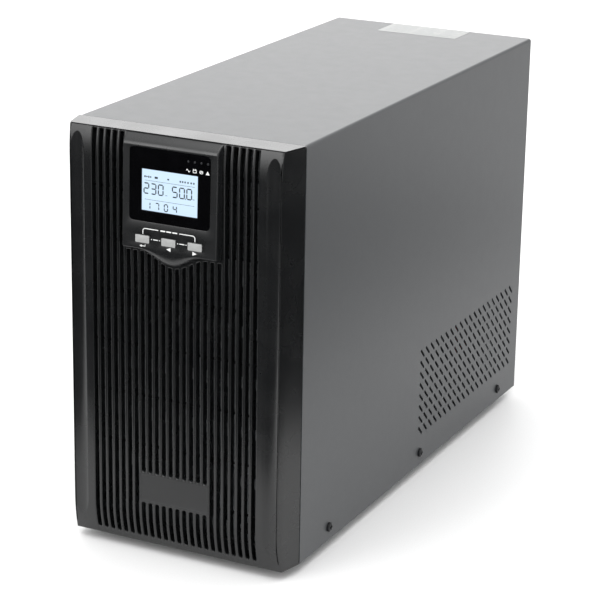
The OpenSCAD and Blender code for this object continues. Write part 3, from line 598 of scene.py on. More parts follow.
def make_bezel(sizes, material):
    """Ribbed bezel: grille field, strips beside the display, pillars, plates, cross-bars and snap tabs."""
    shell = grille(sizes)
    top = CASE_H - CAP_H
    for side in (-1, 1):
        shell.join(pillar(side, sizes))
        heights = np.concatenate([[EDGE_Z], np.linspace(300, top, 9)])
        strip_x = [(DISPLAY_HALF + 0.2) * side, (FIELD_HALF - 5 * SLOT_PITCH) * side]
        corners = [
            (min(strip_x), 0), (max(strip_x), 0), (max(strip_x), RIB_DEPTH), (min(strip_x), RIB_DEPTH)
        ]
        strip = [
            np.column_stack(
                [[x for x, _ in corners], front_y(z) + [d for _, d in corners], [z] * 4]
            ) for z in heights
        ]
        shell.grid(np.array(strip), caps=(True, True))
    back = sizes.seam_gap / MM
    shell.join(bezel_plate(top, CASE_H, 0.6, back))
    shell.join(bezel_plate(-0.0, 2, 0.5, back, up=False))
    bar_y = -BEZEL_D + RIB_DEPTH + BAR_D / 2
    for z in CROSSBARS:
        middle = z + BAR_H / 2
        shell.join(beam([(-FIELD_HALF, bar_y, middle), (FIELD_HALF, bar_y, middle)], BAR_D / 2, BAR_H / 2))
    for x in (-60, 60):
        for z in (26, 300):
            shell.join(beam([(x, -BEZEL_D + RIB_DEPTH + 0.1, z), (x, 8, z)], 7, 1.2))
    return make_piece("ribbed_bezel", shell, material, replaces=["front_bezel"], sharp=24)


def make_badge(sizes, material):
    """Blank badge plate: a rounded plate with a soft raised edge and a slightly sunken middle."""
    (x0, y0, z0), (x1, y1, z1) = node_box("badge_plate")
    outline = rounded(rectangle(x1 - x0, z1 - z0), 1)
    edge = sizes.badge_edge / MM
    levels = [(outline, y0 - y1)]
    levels += [(inset(outline, edge - out), -depth) for out, depth in edge_profile(edge)[::-1]]
    for border, out in ((1.2, 0), (1.5, -0.12)):
        levels.append((rounded(rectangle(x1 - x0 - 2 * border, z1 - z0 - 2 * border), 0.4), out))
    shell = Shell()
    put = placed([(x0 + x1) / 2, y0, (z0 + z1) / 2])
    shell.grid(put(np.array([raised(outline, out) for outline, out in levels])), caps=(True, True))
    return make_piece("badge", shell, material, replaces=["badge_plate"], sharp=15)


# ---------- Display ----------

STAND_LOW, STAND_HIGH, FACE_LOW, FACE_HIGH = 7, 5, 246, 315
TILT = math.atan((STAND_LOW - STAND_HIGH) / (FACE_HIGH - FACE_LOW))
UP_FACE = np.array([0, math.sin(TILT), math.cos(TILT)])
FACE = placed([0, -BEZEL_D - STAND_LOW, FACE_LOW], X, UP_FACE)
FACE_HALF, FACE_V0, FACE_V1 = 38.7, -4.9, 72.0
FACE_WALL, FACE_BAND, CHIN_EDGE = 3.4, 0.3, 1.6
WINDOW, WINDOW_V, WINDOW_R, WINDOW_T = (67, 55), 43.2, 3.5, 2
SCREEN, SCREEN_V = (46.5, 31), 39.5
BUTTON, BUTTON_V, BUTTON_PITCH, BUTTON_STAND = (11.6, 5.8), 2.3, 22, 0.8
LED_X, LED_PITCH, LED_V = 15.3, 5.4, 65


def face_surface(points, depth):
    """Points (x, y) on the display's sloping face, at a depth behind it."""
    return FACE(raised(points, -depth))


def housing_points(x, z, share, stand):
    """Points in front of the bezel: each stands off its front surface by a share of a stand."""
    x, z = np.broadcast_arrays(x, z)
    return np.stack([x, front_y(z) - stand * share, z], -1)


def face_stand(z):
    """How far the plane of the display's face stands off the bezel's front surface at a height."""
    return front_y(z) + BEZEL_D + STAND_LOW - (z - FACE_LOW) * math.tan(TILT)


def housing_front():
    """The display housing round its flat face: two side strips, the chin below and the shoulder above.

    Across a side, x goes outwards as a sine and the stand falls as a cosine. Down the chin the height falls
    to the cosine wave as a sine, and the stand falls as a cosine. Up the shoulder the stand falls as 1 less
    a square. The corners are the product of both. Each strip starts with a narrow flat band next to the
    face."""
    angle = np.linspace(0, np.pi / 2, 11)
    flat = FACE_HALF - FACE_BAND
    side_x = FACE_HALF + (DISPLAY_HALF - FACE_HALF) * np.sin(angle)
    x = np.concatenate([-side_x[::-1], np.linspace(-flat, flat, 61), side_x])
    share = np.concatenate([np.cos(angle[::-1]), np.ones(61), np.cos(angle)])
    low, high = (FACE_LOW + v * math.cos(TILT) for v in (FACE_V0, FACE_V1))
    down = angle[::-1, None]
    chin_z = low + (wave(x) - low) * np.sin(down)
    chin_stand = CHIN_EDGE + (face_stand(low) - CHIN_EDGE) * np.cos(down)
    chin = housing_points(x, chin_z, share, chin_stand)
    band = housing_points(x, np.full((1, 1), low + FACE_BAND), share, face_stand(low + FACE_BAND))
    shell = Shell()
    shell.grid(np.concatenate([chin, band]), closed=False)
    t = np.linspace(0, 1, 17)[:, None]
    top_z = high + (CASE_H - CAP_H - high) * t
    shoulder = housing_points(x, top_z, share, face_stand(high) * (1 - t**2))
    band = housing_points(x, np.full((1, 1), high - FACE_BAND), share, face_stand(high - FACE_BAND))
    shell.grid(np.concatenate([band, shoulder]), closed=False)
    z = np.linspace(low + FACE_BAND, high - FACE_BAND, 13)[:, None]
    sides = slice(0, 12), slice(len(x) - 12, len(x))
    for side in sides:
        shell.grid(housing_points(x[side], z, share[side], face_stand(z)), closed=False)
    left = housing_points(x[:1], z, share[:1], face_stand(z))
    right = housing_points(x[-1:], z, share[-1:], face_stand(z))
    rim = np.concatenate([chin[0], right[:, 0], shoulder[-1, ::-1], left[::-1, 0]])
    behind = rim.copy()
    behind[:, 1] = -BEZEL_D + RIB_DEPTH
    middle = np.array([0, 0, (low + high) / 2])
    inner = middle + (behind - middle) * [0.96, 1, 0.96]
    u, v = rim[:, 0] / DISPLAY_HALF, np.interp(
        rim[:, 2], [low, high], [FACE_V0 + FACE_BAND, FACE_V1 - FACE_BAND]
    )
    v = np.where(np.arange(len(rim)) < len(x), FACE_V0 + FACE_BAND, v)
    back = FACE(np.column_stack([u * flat, v, np.full(len(rim), -FACE_WALL)]))
    shell.grid(np.array([back, inner, behind, rim]))
    return shell


def make_housing(material):
    """Display housing: a flat sloping face pierced for the window and the three buttons, and what is round
    it."""
    shell = housing_front().welded()
    half, low, high = FACE_HALF - FACE_BAND, FACE_V0 + FACE_BAND, FACE_V1 - FACE_BAND
    window = np.array(WINDOW) / 2 + 0.12
    split = 9
    ledge = edge_profile(0.35) + [(0, WINDOW_T), (-1.2, WINDOW_T), (-1.2, FACE_WALL)]
    pierce(
        shell,
        face_surface,
        ((-half, split), (half, high)),
        ((-window[0], WINDOW_V - window[1]), (window[0], WINDOW_V + window[1])),
        (WINDOW_R, WINDOW_R),
        ledge,
        FACE_WALL,
    )
    button = np.array(BUTTON) / 2 + 0.3
    for i, (x0, x1) in enumerate([(-half, -11), (-11, 11), (11, half)]):
        x = (i - 1) * BUTTON_PITCH
        pierce(
            shell,
            face_surface,
            ((x0, low), (x1, split)),
            ((x - button[0], BUTTON_V - button[1]), (x + button[0], BUTTON_V + button[1])),
            (0.9, 0.9),
            edge_profile(0.3) + [(0, FACE_WALL)],
            FACE_WALL,
        )
    return make_piece("display_shell", shell, material, replaces=["display_housing"])


def make_window(material):
    """Glossy window: a rounded plate with a polished edge and a bevelled opening over the screen."""
    outline = rounded(rectangle(*WINDOW, (0, WINDOW_V)), WINDOW_R, 6)
    opening = rounded(rectangle(*SCREEN, (0, SCREEN_V)), 0.5)
    levels = [(outline, -WINDOW_T)]
    levels += [(inset(outline, 0.25 - out), -depth) for out, depth in edge_profile(0.25)[::-1]]
    levels += [(inset(opening, -0.15), 0), (opening, -0.15), (opening, -WINDOW_T), (outline, -WINDOW_T)]
    shell = Shell()
    shell.grid(FACE(loft(levels, (0, SCREEN_V))))
    return make_piece("window_plate", shell, material, replaces=["display_window"])


def make_screen(material):
    """Lit screen: a thin plate of glass just behind the window's face, on its frame."""
    low_v, high_v = SCREEN_V - 19, SCREEN_V + 19
    glass = rounded(rectangle(SCREEN[0] - 0.2, SCREEN[1] - 0.2, (0, SCREEN_V)), 0.4)
    tray = rounded(rectangle(52, high_v - low_v, (0, SCREEN_V)), 1)
    levels = [
        (tray, -12.4), (tray, -WINDOW_T - 0.3), (inset(tray, 0.3), -WINDOW_T),
        (inset(glass, -0.3), -WINDOW_T)
    ]
    levels += [(glass, -WINDOW_T), (glass, -0.5), (inset(glass, 0.15), -0.35)]
    shell = Shell()
    shell.grid(FACE(loft(levels, (0, SCREEN_V))), caps=(True, True))
    return make_piece("lit_screen", shell, material, replaces=["lcd_panel"])


SEGMENTS = {
    "a": ((0, 2), (1, 2)),
    "b": ((1, 2), (1, 1)),
    "c": ((1, 1), (1, 0)),
    "d": ((0, 0), (1, 0)),
    "e": ((0, 1), (0, 0)),
    "f": ((0, 2), (0, 1)),
    "g": ((0, 1), (1, 1)),
}
DIGITS = ["abcdef", "bc", "abged", "abgcd", "fgbc", "afgcd", "afgedc", "abc", "abcdefg", "abfgcd"]


def plate(shell, outline, low, high, put=FACE):
    """Adds a thin flat plate of an outline between two heights."""
    shell.grid(put(np.array([raised(outline, low), raised(outline, high)])), caps=(True, True))


def digit(shell, value, corner, size, width):
    """Adds the lit segments of one digit: pointed bars between the points of a two by three grid of a
    size."""
    for name in DIGITS[value]:
        start, end = np.array(SEGMENTS[name]) * [size[0], size[1] / 2] + corner
        ahead = (end - start) / np.linalg.norm(end - start)
        side = np.array([-ahead[1], ahead[0]]) * width / 2
        start, end = start + ahead * width * 0.2, end - ahead * width * 0.2
        tip = ahead * width / 2
        outline = np.array(
            [start, start + tip - side, end - tip - side, end, end - tip + side, start + tip + side]
        )
        plate(shell, outline, -0.36, -0.3)


def make_screen_marks(sizes, material):
    """Dark marks of the lit screen: two groups of three large digits, a row of four small ones, two rules
    and a row of tiny bars."""
    shell = Shell()
    left, top = -SCREEN[0] / 2, SCREEN_V + SCREEN[1] / 2
    wide = sizes.segment_w / MM
    for start, values in ((1.9, (2, 3, 0)), (25.6, (5, 0, 0))):
        for i, value in enumerate(values):
            digit(shell, value, (left + start + 6 * i, top - 18.1), (3.9, 7.6), wide)
    plate(shell, rectangle(0.8, 0.8, (left + 36.4, top - 18.1)), -0.36, -0.3)
    for start, low in ((20.6, 17.8), (43.1, 17.8)):
        plate(shell, rectangle(1.7, 0.35, (left + start, top - low)), -0.36, -0.3)
    for i, value in enumerate((1, 7, 0, 4)):
        digit(shell, value, (left + 4.2 + 7.4 * i, top - 29.6), (2.8, 5), wide * 0.85)
    for low in (8.4, 22.6):
        plate(shell, rectangle(SCREEN[0] - 5, 0.22, (0, top - low)), -0.36, -0.3)
    for i, (start, across) in enumerate([(2.6, 1), (4.2, 1), (5.8, 1), (7.4, 1), (12, 2.6), (22, 1.4)]):
        plate(shell, rectangle(across, 1.5 - 0.4 * (i % 2), (left + start, top - 5.6)), -0.36, -0.3)
    for start in (32, 34, 36, 38.4, 41, 43.2):
        plate(shell, rectangle(1.1, 1.3, (left + start, top - 5.8)), -0.36, -0.3)
    return make_piece("screen_marks", shell, material)


def arc(centre, radius, start, end, steps=8):
    """Points along an arc between two angles in degrees."""
    angle = np.radians(np.linspace(start, end, steps))
    return np.column_stack([np.cos(angle), np.sin(angle)]) * radius + centre


def printed(shell, path, width):
    """Adds a thin printed line along a path on the display's face."""
    shell.grid(FACE(ribbon(path, width, -0.02, 0.06)), caps=(True, True))


def make_print(sizes, material):
    """White marks printed on the housing and the window: a bracket over the buttons, dashes between them, an
    arrow or a triangle under each, and four status symbols."""
    shell = Shell()
    wide = sizes.print_w / MM
    foot, head, bend = BUTTON_V + 3.7, BUTTON_V + 8, 2
    for side in (-1, 1):
        outer = side * (BUTTON_PITCH - 0.2)
        turn = arc((outer - side * bend, head - bend), bend, 0 if side > 0 else 180, 90)
        path = np.vstack([[(outer, foot)], turn, [(side * 8.8, head)]])
        printed(shell, path, wide)
    for start, end in ((-7, -3), (-2, 2), (3, 7)):
        printed(shell, [(start, head), (end, head)], wide * 1.5)
    for middle in (-11, 11):
        for start, end in ((-3.9, -3.1), (-2.1, 2.1), (3.1, 3.9)):
            printed(shell, [(middle + start, BUTTON_V + 0.4), (middle + end, BUTTON_V + 0.4)], wide)
    low = BUTTON_V - 5.4
    printed(shell, [(-19.7, low + 1.2), (-19.7, low), (-23.2, low)], wide * 0.8)
    for tip, tail in ((-24.6, -22.6), (-1.9, 1.6), (23.4, 19.9)):
        half = 0.9 if tip < -20 else 1.5
        centre = low if tip < -20 else low + 0.2
        side = half if tip < tail else -half
        plate(shell, np.array([(tip, centre), (tail, centre - side), (tail, centre + side)]), -0.02, 0.06)
    icon_v, pen = LED_V - 6.6, wide * 0.75
    t = np.linspace(-1, 1, 17)
    printed(shell, np.column_stack([LED_X + 1.5 * t, icon_v + 0.9 * np.sin(-np.pi * t)]), pen)
    for i, corner in ((1, 0.3), (2, 1)):
        box = rounded(rectangle(2.6, 1.9, (LED_X + i * LED_PITCH, icon_v)), corner)
        printed(shell, np.vstack([box, box[:1]]), pen)
    for x in (-0.8, 0.8):
        plate(shell, rectangle(0.7, 0.6, (LED_X + LED_PITCH + x, icon_v + 1.4)), -0.02, 0.06)
    printed(
        shell, [(LED_X + 2 * LED_PITCH - 1.3, icon_v - 0.6), (LED_X + 2 * LED_PITCH + 1.3, icon_v + 0.6)],
        pen
    )
    middle = LED_X + 3 * LED_PITCH - 0.2
    plate(
        shell,
        np.array([(middle - 1.6, icon_v - 1.3), (middle + 1.6, icon_v - 1.3), (middle, icon_v + 1.4)]),
        -0.02, 0.06
    )
    return make_piece("face_print", shell, material)


def make_leds(material):
    """Four status lamps behind the window: a smoked dome on a stem, turned round its own axis."""
    shell = Shell()
    angle = np.linspace(0, np.pi / 2, 6)
    dome = [(0.82 * math.cos(a), 0.13 * math.sin(a)) for a in angle[:-1]]
    for i in range(4):
        profile = [(1.5, -12.4), (1.5, -4), (0.82, -4)] + dome
        lamp = turned(profile, 20) + [LED_X + i * LED_PITCH, LED_V, 0]
        shell.grid(FACE(lamp), caps=(True, True))
    return make_piece("status_lamps", shell, material, replaces=["status_leds"])


def make_button(index, name, body, node, sizes, material):
    """Push button: a rounded cap with a slightly crowned top, on a flange and a stem behind the housing."""
    middle = ((index - 1) * BUTTON_PITCH, BUTTON_V)
    cap = rounded(rectangle(*BUTTON), 0.7)
    flange = rounded(rectangle(BUTTON[0] + 3, BUTTON[1] + 2), 0.7)
    edge, crown = sizes.button_edge / MM, sizes.button_crown / MM
    levels = [(flange, -4.8), (flange, -3.85), (cap, -3.8)]
    levels += [
        (inset(cap, edge - out), BUTTON_STAND - crown - depth) for out, depth in edge_profile(edge, 4)[::-1]
    ]
    for share in (0.8, 0.6, 0.4, 0.2):
        levels.append((inset(cap, edge) * [share, share], BUTTON_STAND - crown * share**2))
    shell = Shell()
    put = placed(FACE(np.array([*middle, 0])), X, UP_FACE)
    shell.grid(put(loft(levels)), caps=(True, True))
    shell.grid(put(turned([(1.5, -7), (1.5, -4.7)], 20)), caps=(True, True))
    return make_piece(name, shell, material, body=body, replaces=[node])

# ---------- Screws, feet and label ----------

FAN_X, FAN_Z, FAN_HOLES, FAN_LOW = 43, 205, 35.75, 417.8
SIDE_SCREW_Y, SIDE_SCREW_Z = (50, 225, 400), 11
REAR_SCREW_Z = (14, 150, 310)
SLOT_PLACE, SLOT_SCREW_X = (-27, 290), 52
INLET_PLACE, INLET_SCREW_X = (-50, 42), 20
FOOT_X, FOOT_Y, FOOT_H = 74, (32, 412), 8


def screw(shell, put, head_d, head_h, shank_d, length):
    """Adds a pan-head screw along out, with the underside of its head at height 0.

    The head's height over rings round its axis is 0.6 of the full height plus 0.4 of it times the root of 1
    less the fourth power of the share of the radius. The cross sinks into it where the distance to the
    nearer arm's middle is under 0.17 and the reach along the arm under 0.56 of the radius, with sloping
    walls."""
    share = np.array([1, 0.985, 0.94, 0.84, 0.7, 0.58, 0.54, 0.48, 0.4, 0.3, 0.22, 0.16, 0.1, 0.04])[:, None]
    ring = circle(1, 48)
    across = share * np.abs(ring).min(1)
    along = share * np.abs(ring).max(1)
    sink = np.clip((0.17 - across) / 0.07, 0, 1) * np.clip((0.56 - along) / 0.08, 0, 1)
    height = head_h * (0.6 + 0.4 * np.sqrt(1 - share**4) - 0.55 * sink)
    top = np.stack([share * ring[:, 0], share * ring[:, 1], height / (head_d / 2)], -1) * head_d / 2
    side = turned([(0.3 * shank_d, -length), (shank_d / 2, 0.5 - length), (shank_d / 2, 0), (head_d / 2, 0)])
    shell.grid(put(np.concatenate([side, top])), caps=(True, True))


def make_screws():
    """Screws of the case: along its sides, round its rear panel and at the corners of the fans."""
    sides, rears, fans = Shell(), Shell(), Shell()
    for side in (-1, 1):
        for y in SIDE_SCREW_Y:
            place = placed([side * CASE_HALF, y, SIDE_SCREW_Z], side * Y, Z)
            screw(sides, place, 7.6, 2.2, 3.8, 5)
        for z in REAR_SCREW_Z:
            screw(rears, rear(side * (CASE_HALF - 5.8), z), 6, 2, 3, 8)
        screw(rears, rear(SLOT_PLACE[0] + side * SLOT_SCREW_X, SLOT_PLACE[1], 1.2), 6, 2, 3, 8)
        screw(rears, rear(INLET_PLACE[0] + side * INLET_SCREW_X, INLET_PLACE[1], 2), 5.4, 1.8, 3, 9)
    for side in (-1, 1):
        for x in (-FAN_HOLES, FAN_HOLES):
            for z in (-FAN_HOLES, FAN_HOLES):
                screw(fans, rear(side * FAN_X + x, FAN_Z + z, 2 * WIRE_R), 7.4, 2.2, 3.9, 14)
    make_piece("side_screw_heads", sides, finish_of("black_screw"), replaces=["side_screws"])
    make_piece("rear_screw_heads", rears, finish_of("black_screw"), replaces=["rear_screws"])
    make_piece("fan_screw_heads", fans, finish_of("zinc_screw"), replaces=["fan_screws"])


def make_feet():
    """Four rubber feet: a closed section turned round each foot's axis, with a recess for the screw's head
    below."""
    shell = Shell()
    section = [
        (5, 0), (9.1, 0), (9.5, 0.25), (10.5, 1.5), (11.9, 7.4), (12, 7.7), (11.8, FOOT_H), (2.15, FOOT_H)
    ]
    section += [(2.15, 5), (4.7, 5), (5, 4.7), (5, 0)]
    for x in (-FOOT_X, FOOT_X):
        for y in FOOT_Y:
            shell.grid(turned(section) + [x, y, -FOOT_H])
    return make_piece(
        "rubber_feet", shell.welded(), finish_of("foot_rubber"), replaces=["feet"]
    )


def make_label():
    """Paper label on top: a thin rounded sheet, with faint generic bars of a table printed on it."""
    (x0, y0, z0), (x1, y1, _) = node_box("top_label")
    put = placed([(x0 + x1) / 2, (y0 + y1) / 2, z0], X, Y)
    sheet, bars = Shell(), Shell()
    outline = rounded(rectangle(x1 - x0, y1 - y0), 1)
    sheet.grid(
        put(np.array([raised(outline, 0), raised(outline, 0.12), raised(inset(outline, 0.05), 0.15)])),
        caps=(True, True)
    )
    wide = x1 - x0
    for row in range(6):
        for start, reach in ((0.07, 0.3), (0.42, 0.22 + 0.03 * (row % 3)), (0.74, 0.18 - 0.04 * (row % 2))):
            middle = (x0 - x1) / 2 + wide * (start + reach / 2)
            plate(bars, rectangle(wide * reach, 1.1, (middle, 12 - 4.6 * row)), 0.14, 0.18, put)
    make_piece("label_sheet", sheet, finish_of("paper_label"), replaces=["top_label"])
    make_piece("label_bars", bars, finish_of("grey_ink"))


# ---------- Fans ----------

HUB_R, ROTOR_R, SHAFT_R = 18, 36.4, 1.5
CUP_LOW, CUP_HIGH = 5, 22


def fan_place(side):
    """Local frame of one fan, with out to the back from the fan's front face."""
    return placed([side * FAN_X, FAN_LOW, FAN_Z], X, -Z)


def blade(turn, sizes):
    """One fan blade: an airfoil section carried from the hub to the tip.

    At every radius the section lies on a cylinder. Its chord stands at the pitch for that radius and is as
    long as the hub is deep. Its thickness is the root of 1 less the square of the place along the chord, and
    its camber is 1 less that square. The tip is swept ahead of the root by a share of a turn."""
    share = np.linspace(0, 1, 11)[:, None]
    radius = HUB_R - 0.6 + (ROTOR_R - HUB_R + 0.6) * share
    pitch = sizes.hub_pitch + (sizes.tip_pitch - sizes.hub_pitch) * share
    around = np.linspace(0, 2 * np.pi, 28, endpoint=False)[None]
    along, thick = np.cos(around), np.sin(around)
    half = (CUP_HIGH - CUP_LOW) / 2 - 1.3
    chord = along * half / np.sin(pitch)
    across = thick * sizes.blade_t / MM / 2 + 1.1 * (1 - along**2)
    arc_length = chord * np.cos(pitch) - across * np.sin(pitch)
    height = (CUP_LOW + CUP_HIGH) / 2 + chord * np.sin(pitch) + across * np.cos(pitch)
    angle = turn + 0.3 * share + arc_length / radius
    return np.stack([radius * np.cos(angle), radius * np.sin(angle), np.clip(height, CUP_LOW, CUP_HIGH)], -1)


def make_rotor(side, name, body, node, sizes, material):
    """Fan rotor: a cup with a rounded rim and a shaft, turned round the axis, and curved blades round it."""
    put = fan_place(side)
    edge = [(HUB_R - out, CUP_HIGH - depth) for out, depth in edge_profile(1.2)[::-1]]
    profile = [(0.1, 1.5), (SHAFT_R, 1.5), (SHAFT_R, 20), (HUB_R - 2, 20), (HUB_R - 2, CUP_LOW)]
    profile += [(HUB_R, CUP_LOW), *edge, (11, CUP_HIGH), (10.7, CUP_HIGH - 0.3), (0.1, CUP_HIGH - 0.3)]
    shell = Shell()
    shell.grid(put(turned(profile)), caps=(True, True))
    for i in range(sizes.blades):
        shell.grid(put(blade(2 * np.pi * i / sizes.blades, sizes)), caps=(True, True))
    return make_piece(name, shell, material, body=body, replaces=[node], sharp=30)


WIRE_R, GUARD_OUT, GUARD_RINGS = 0.8, 2.24, (5, 12, 19, 26, 33, 39)


def make_guard(side, name, node, material):
    """Fan guard: wire rings on four wire arms, each with an eye at its end for a screw."""
    put = rear(side * FAN_X, FAN_Z)
    shell = Shell()
    for radius in GUARD_RINGS:
        wire = tube(
            raised(circle(radius, max(16, 2 * round(radius * 1.1))), GUARD_OUT), WIRE_R, 8, closed=True
        )
        shell.grid(put(wire))
    corner = math.hypot(FAN_HOLES, FAN_HOLES)
    for turn in np.radians([45, 135, 225, 315]):
        ray = np.array([math.cos(turn), math.sin(turn)])
        path = np.linspace(0, corner - 2.6, 3)[:, None] * ray
        shell.grid(put(tube(raised(path, WIRE_R), WIRE_R, 8)), caps=(True, True))
        shell.grid(put(tube(raised(circle(3.1, 20, corner * ray), WIRE_R), WIRE_R, 8, closed=True)))
    return make_piece(name, shell.welded(), material, replaces=[node])


# ---------- Sockets and power inlet ----------

OUTLET_PLACES, OUTLET_CORE = ((8, 38), (54, 38), (8, 78), (54, 78)), (24, 15.8)
HIGH_PLACE, HIGH_CORE = (31, 121), (28.6, 19.2)
LOW_CONTACTS = ((-7, 2.6, 2.6, 5), (7, 2.6, 2.6, 5), (0, -2.4, 2.6, 5))
HIGH_CONTACTS = ((-6.5, 3.4, 8.6, 2.6), (6.5, 3.4, 8.6, 2.6), (0, -4.2, 8.6, 2.6))
BREAKER_PLACE, STUD_PLACE = (-50, 88), (-50, 124)


def cut_rectangle(width, height, cut):
    """A rectangle whose two corners at +y are cut off, anticlockwise."""
    w, h = width / 2, height / 2
    return np.array([[-w, -h], [w, -h], [w, h - cut], [w - cut, h], [cut - w, h], [-w, h - cut]])


def pocketed(shell, put, xs, ys, pockets, low, high, floor, bend):
    """Adds a block with pockets sunk in its top, on a grid of lines xs and ys.

    A pocket is the column and the row of a cell. Each cell's top is at high, or for a pocket at floor, and a
    wall joins two cells of different heights. The block's outer walls go down to low. bend moves the grid's
    points."""
    xs, ys = np.array(xs, float), np.array(ys, float)
    tops = np.full((len(xs) + 1, len(ys) + 1), float(low))
    tops[1:-1, 1:-1] = high
    for column, row in pockets:
        tops[column + 1, row + 1] = floor

    def quad(corners):
        points = np.array(corners, float)
        points[:, :2] = bend(points[:, :2])
        shell.grid(put(points)[None].reshape(2, 2, 3), closed=False)

    for i in range(len(xs)):
        for j in range(len(ys)):
            if i < len(xs) - 1 and j < len(ys) - 1:
                z = tops[i + 1, j + 1]
                quad(
                    [
                        (xs[i], ys[j], z), (xs[i + 1], ys[j], z), (xs[i], ys[j + 1], z),
                        (xs[i + 1], ys[j + 1], z)
                    ]
                )
                z = low
                quad(
                    [
                        (xs[i + 1], ys[j], z), (xs[i], ys[j], z), (xs[i + 1], ys[j + 1], z),
                        (xs[i], ys[j + 1], z)
                    ]
                )
            if j < len(ys) - 1 and tops[i, j + 1] != tops[i + 1, j + 1]:
                a, b = tops[i, j + 1], tops[i + 1, j + 1]
                quad([(xs[i], ys[j], a), (xs[i], ys[j], b), (xs[i], ys[j + 1], a), (xs[i], ys[j + 1], b)])
            if i < len(xs) - 1 and tops[i + 1, j] != tops[i + 1, j + 1]:
                a, b = tops[i + 1, j], tops[i + 1, j + 1]
                quad([(xs[i], ys[j], b), (xs[i], ys[j], a), (xs[i + 1], ys[j], b), (xs[i + 1], ys[j], a)])


def make_outlet(place, core, contacts, name, node, material):
    """Mains socket: a flanged cup with a cavity whose core stands in it, and three contact slots in the
    core."""
    put = rear(*place)
    cut, groove, wall, depth = 4, 3, 1.5, 24
    cavity = cut_rectangle(core[0] + 2 * groove, core[1] + 2 * groove, cut + 1)
    outer = rectangle(core[0] + 2 * (groove + wall), core[1] + 2 * (groove + wall))
    flange = rounded(rectangle(core[0] + 2 * (groove + wall) + 4, core[1] + 2 * (groove + wall) + 4), 1.5)
    levels = [(outer, -depth), (outer, 0), (flange, 0)]
    levels += [(inset(flange, 0.5 - out), 2 - deep) for out, deep in edge_profile(0.5)[::-1]]
    levels += [(inset(cavity, -0.4), 2), (cavity, 1.6), (cavity, -17)]
    shell = Shell()
    shell.grid(put(loft(levels)), caps=(True, True))
    xs = sorted({-core[0] / 2, core[0] / 2, *(x + s * w / 2 for x, _, w, _ in contacts for s in (-1, 1))})
    ys = sorted({-core[1] / 2, core[1] / 2, *(y + s * h / 2 for _, y, _, h in contacts for s in (-1, 1))})
    pockets = [
        (i, j)
        for i in range(len(xs) - 1)
        for j in range(len(ys) - 1)
        for x, y, w, h in contacts
        if abs((xs[i] + xs[i + 1]) / 2 - x) < w / 2 and abs((ys[j] + ys[j + 1]) / 2 - y) < h / 2
    ]

    def bend(points):
        """Pulls the +y side in at both ends, in proportion to y, so that its corners are cut."""
        limit = core[1] / 2 - np.clip(np.abs(points[:, 0]) - core[0] / 2 + cut, 0, None)
        share = np.where(points[:, 1] > 0, limit / (core[1] / 2), 1)
        return np.column_stack([points[:, 0], points[:, 1] * share])

    block = Shell()
    pocketed(block, put, xs, ys, pockets, -17, 0.5, -14, bend)
    shell.join(block.welded())
    return make_piece(name, shell, material, replaces=[node], bevel=0.25)


def make_inlet():
    """Power inlet: a flanged cup with three flat blades standing in it."""
    put = rear(*INLET_PLACE)
    cavity = cut_rectangle(30.4, 21.4, 4)
    outer, flange = rectangle(34.4, 25.4), rounded(rectangle(50, 30.4), 3)
    levels = [(outer, -26), (outer, 0), (flange, 0)]
    levels += [(inset(flange, 0.6 - out), 2 - deep) for out, deep in edge_profile(0.6)[::-1]]
    levels += [(inset(cavity, -0.4), 2), (cavity, 1.6), (cavity, -20)]
    cup, blades = Shell(), Shell()
    cup.grid(put(loft(levels)), caps=(True, True))
    for x, y, _, _ in HIGH_CONTACTS:
        section = rounded(rectangle(7.9, 1.9, (x, y)), 0.3)
        tip = (rectangle(7.9, 1.9) * [0.9, 0.45]) + [x, y]
        rows = [raised(section, -34), raised(section, -6), raised(rounded(tip, 0.1), -5)]
        blades.grid(put(np.array(rows)), caps=(True, True))
    make_piece("inlet_cup", cup, finish_of("black_nylon"), replaces=["power_inlet"])
    make_piece("inlet_contact_blades", blades, finish_of("brass"), replaces=["inlet_blades"])


def nut(shell, put, across, sides, low, high, bore):
    """Adds a nut: a ring of flats between two heights round a bore, with its upper corners turned down."""
    ring = circle(1, 48)
    angle = np.arctan2(ring[:, 1], ring[:, 0]) % (2 * np.pi / sides) - np.pi / sides
    reach = across / 2 * math.cos(np.pi / sides) / np.cos(angle)
    outer = ring * reach[:, None]
    inner_r = across / 2 * math.cos(np.pi / sides) * 0.97
    drop = np.clip((reach - inner_r) * 0.5, 0, None)
    rows = [raised(ring * bore, low), raised(outer, low), raised(outer, high - drop)]
    rows += [
        raised(ring * inner_r, high), raised(ring * (bore + 0.3), high), raised(ring * bore, high - 0.3)
    ]
    rows.append(raised(ring * bore, low))
    shell.grid(put(np.array(rows)))


def make_breaker():
    """Input breaker: a body with a threaded barrel, a twelve-sided nut and a push button that pops out."""
    put = rear(*BREAKER_PLACE)
    body, ring, button = Shell(), Shell(), Shell()
    block = rounded(rectangle(18, 30), 1)
    levels = [(block, -38), (block, -1.6), (inset(block, 0.4), -1.2), (circle(7.9, 32), -1.2)]
    for i in range(7):
        levels += [(circle(7.9, 32), -1 + 0.8 * i), (circle(7.55, 32), -0.6 + 0.8 * i)]
    levels += [(circle(7.4, 32), 5), (circle(4.8, 32), 5), (circle(4.5, 32), 4.7), (circle(4.5, 32), -12)]
    body.grid(put(loft(levels)), caps=(True, True))
    nut(ring, put, 22, 12, 0, 3, 8)
    edge = [(4.2 - out, 6.2 - depth) for out, depth in edge_profile(0.9)[::-1]]
    profile = [(0.1, -8), (4.2, -8), *edge, (2.6, 6.28), (0.1, 6.35)]
    button.grid(put(turned(profile)), caps=(True, True))
    make_piece("breaker_body", body, finish_of("black_nylon"), replaces=["input_breaker"])
    make_piece("breaker_ring", ring, finish_of("black_nylon"), replaces=["breaker_nut"])
    make_piece(
        "breaker_cap", button, finish_of("breaker_plastic"), body="breaker_reset",
        replaces=["breaker_button"],
    )


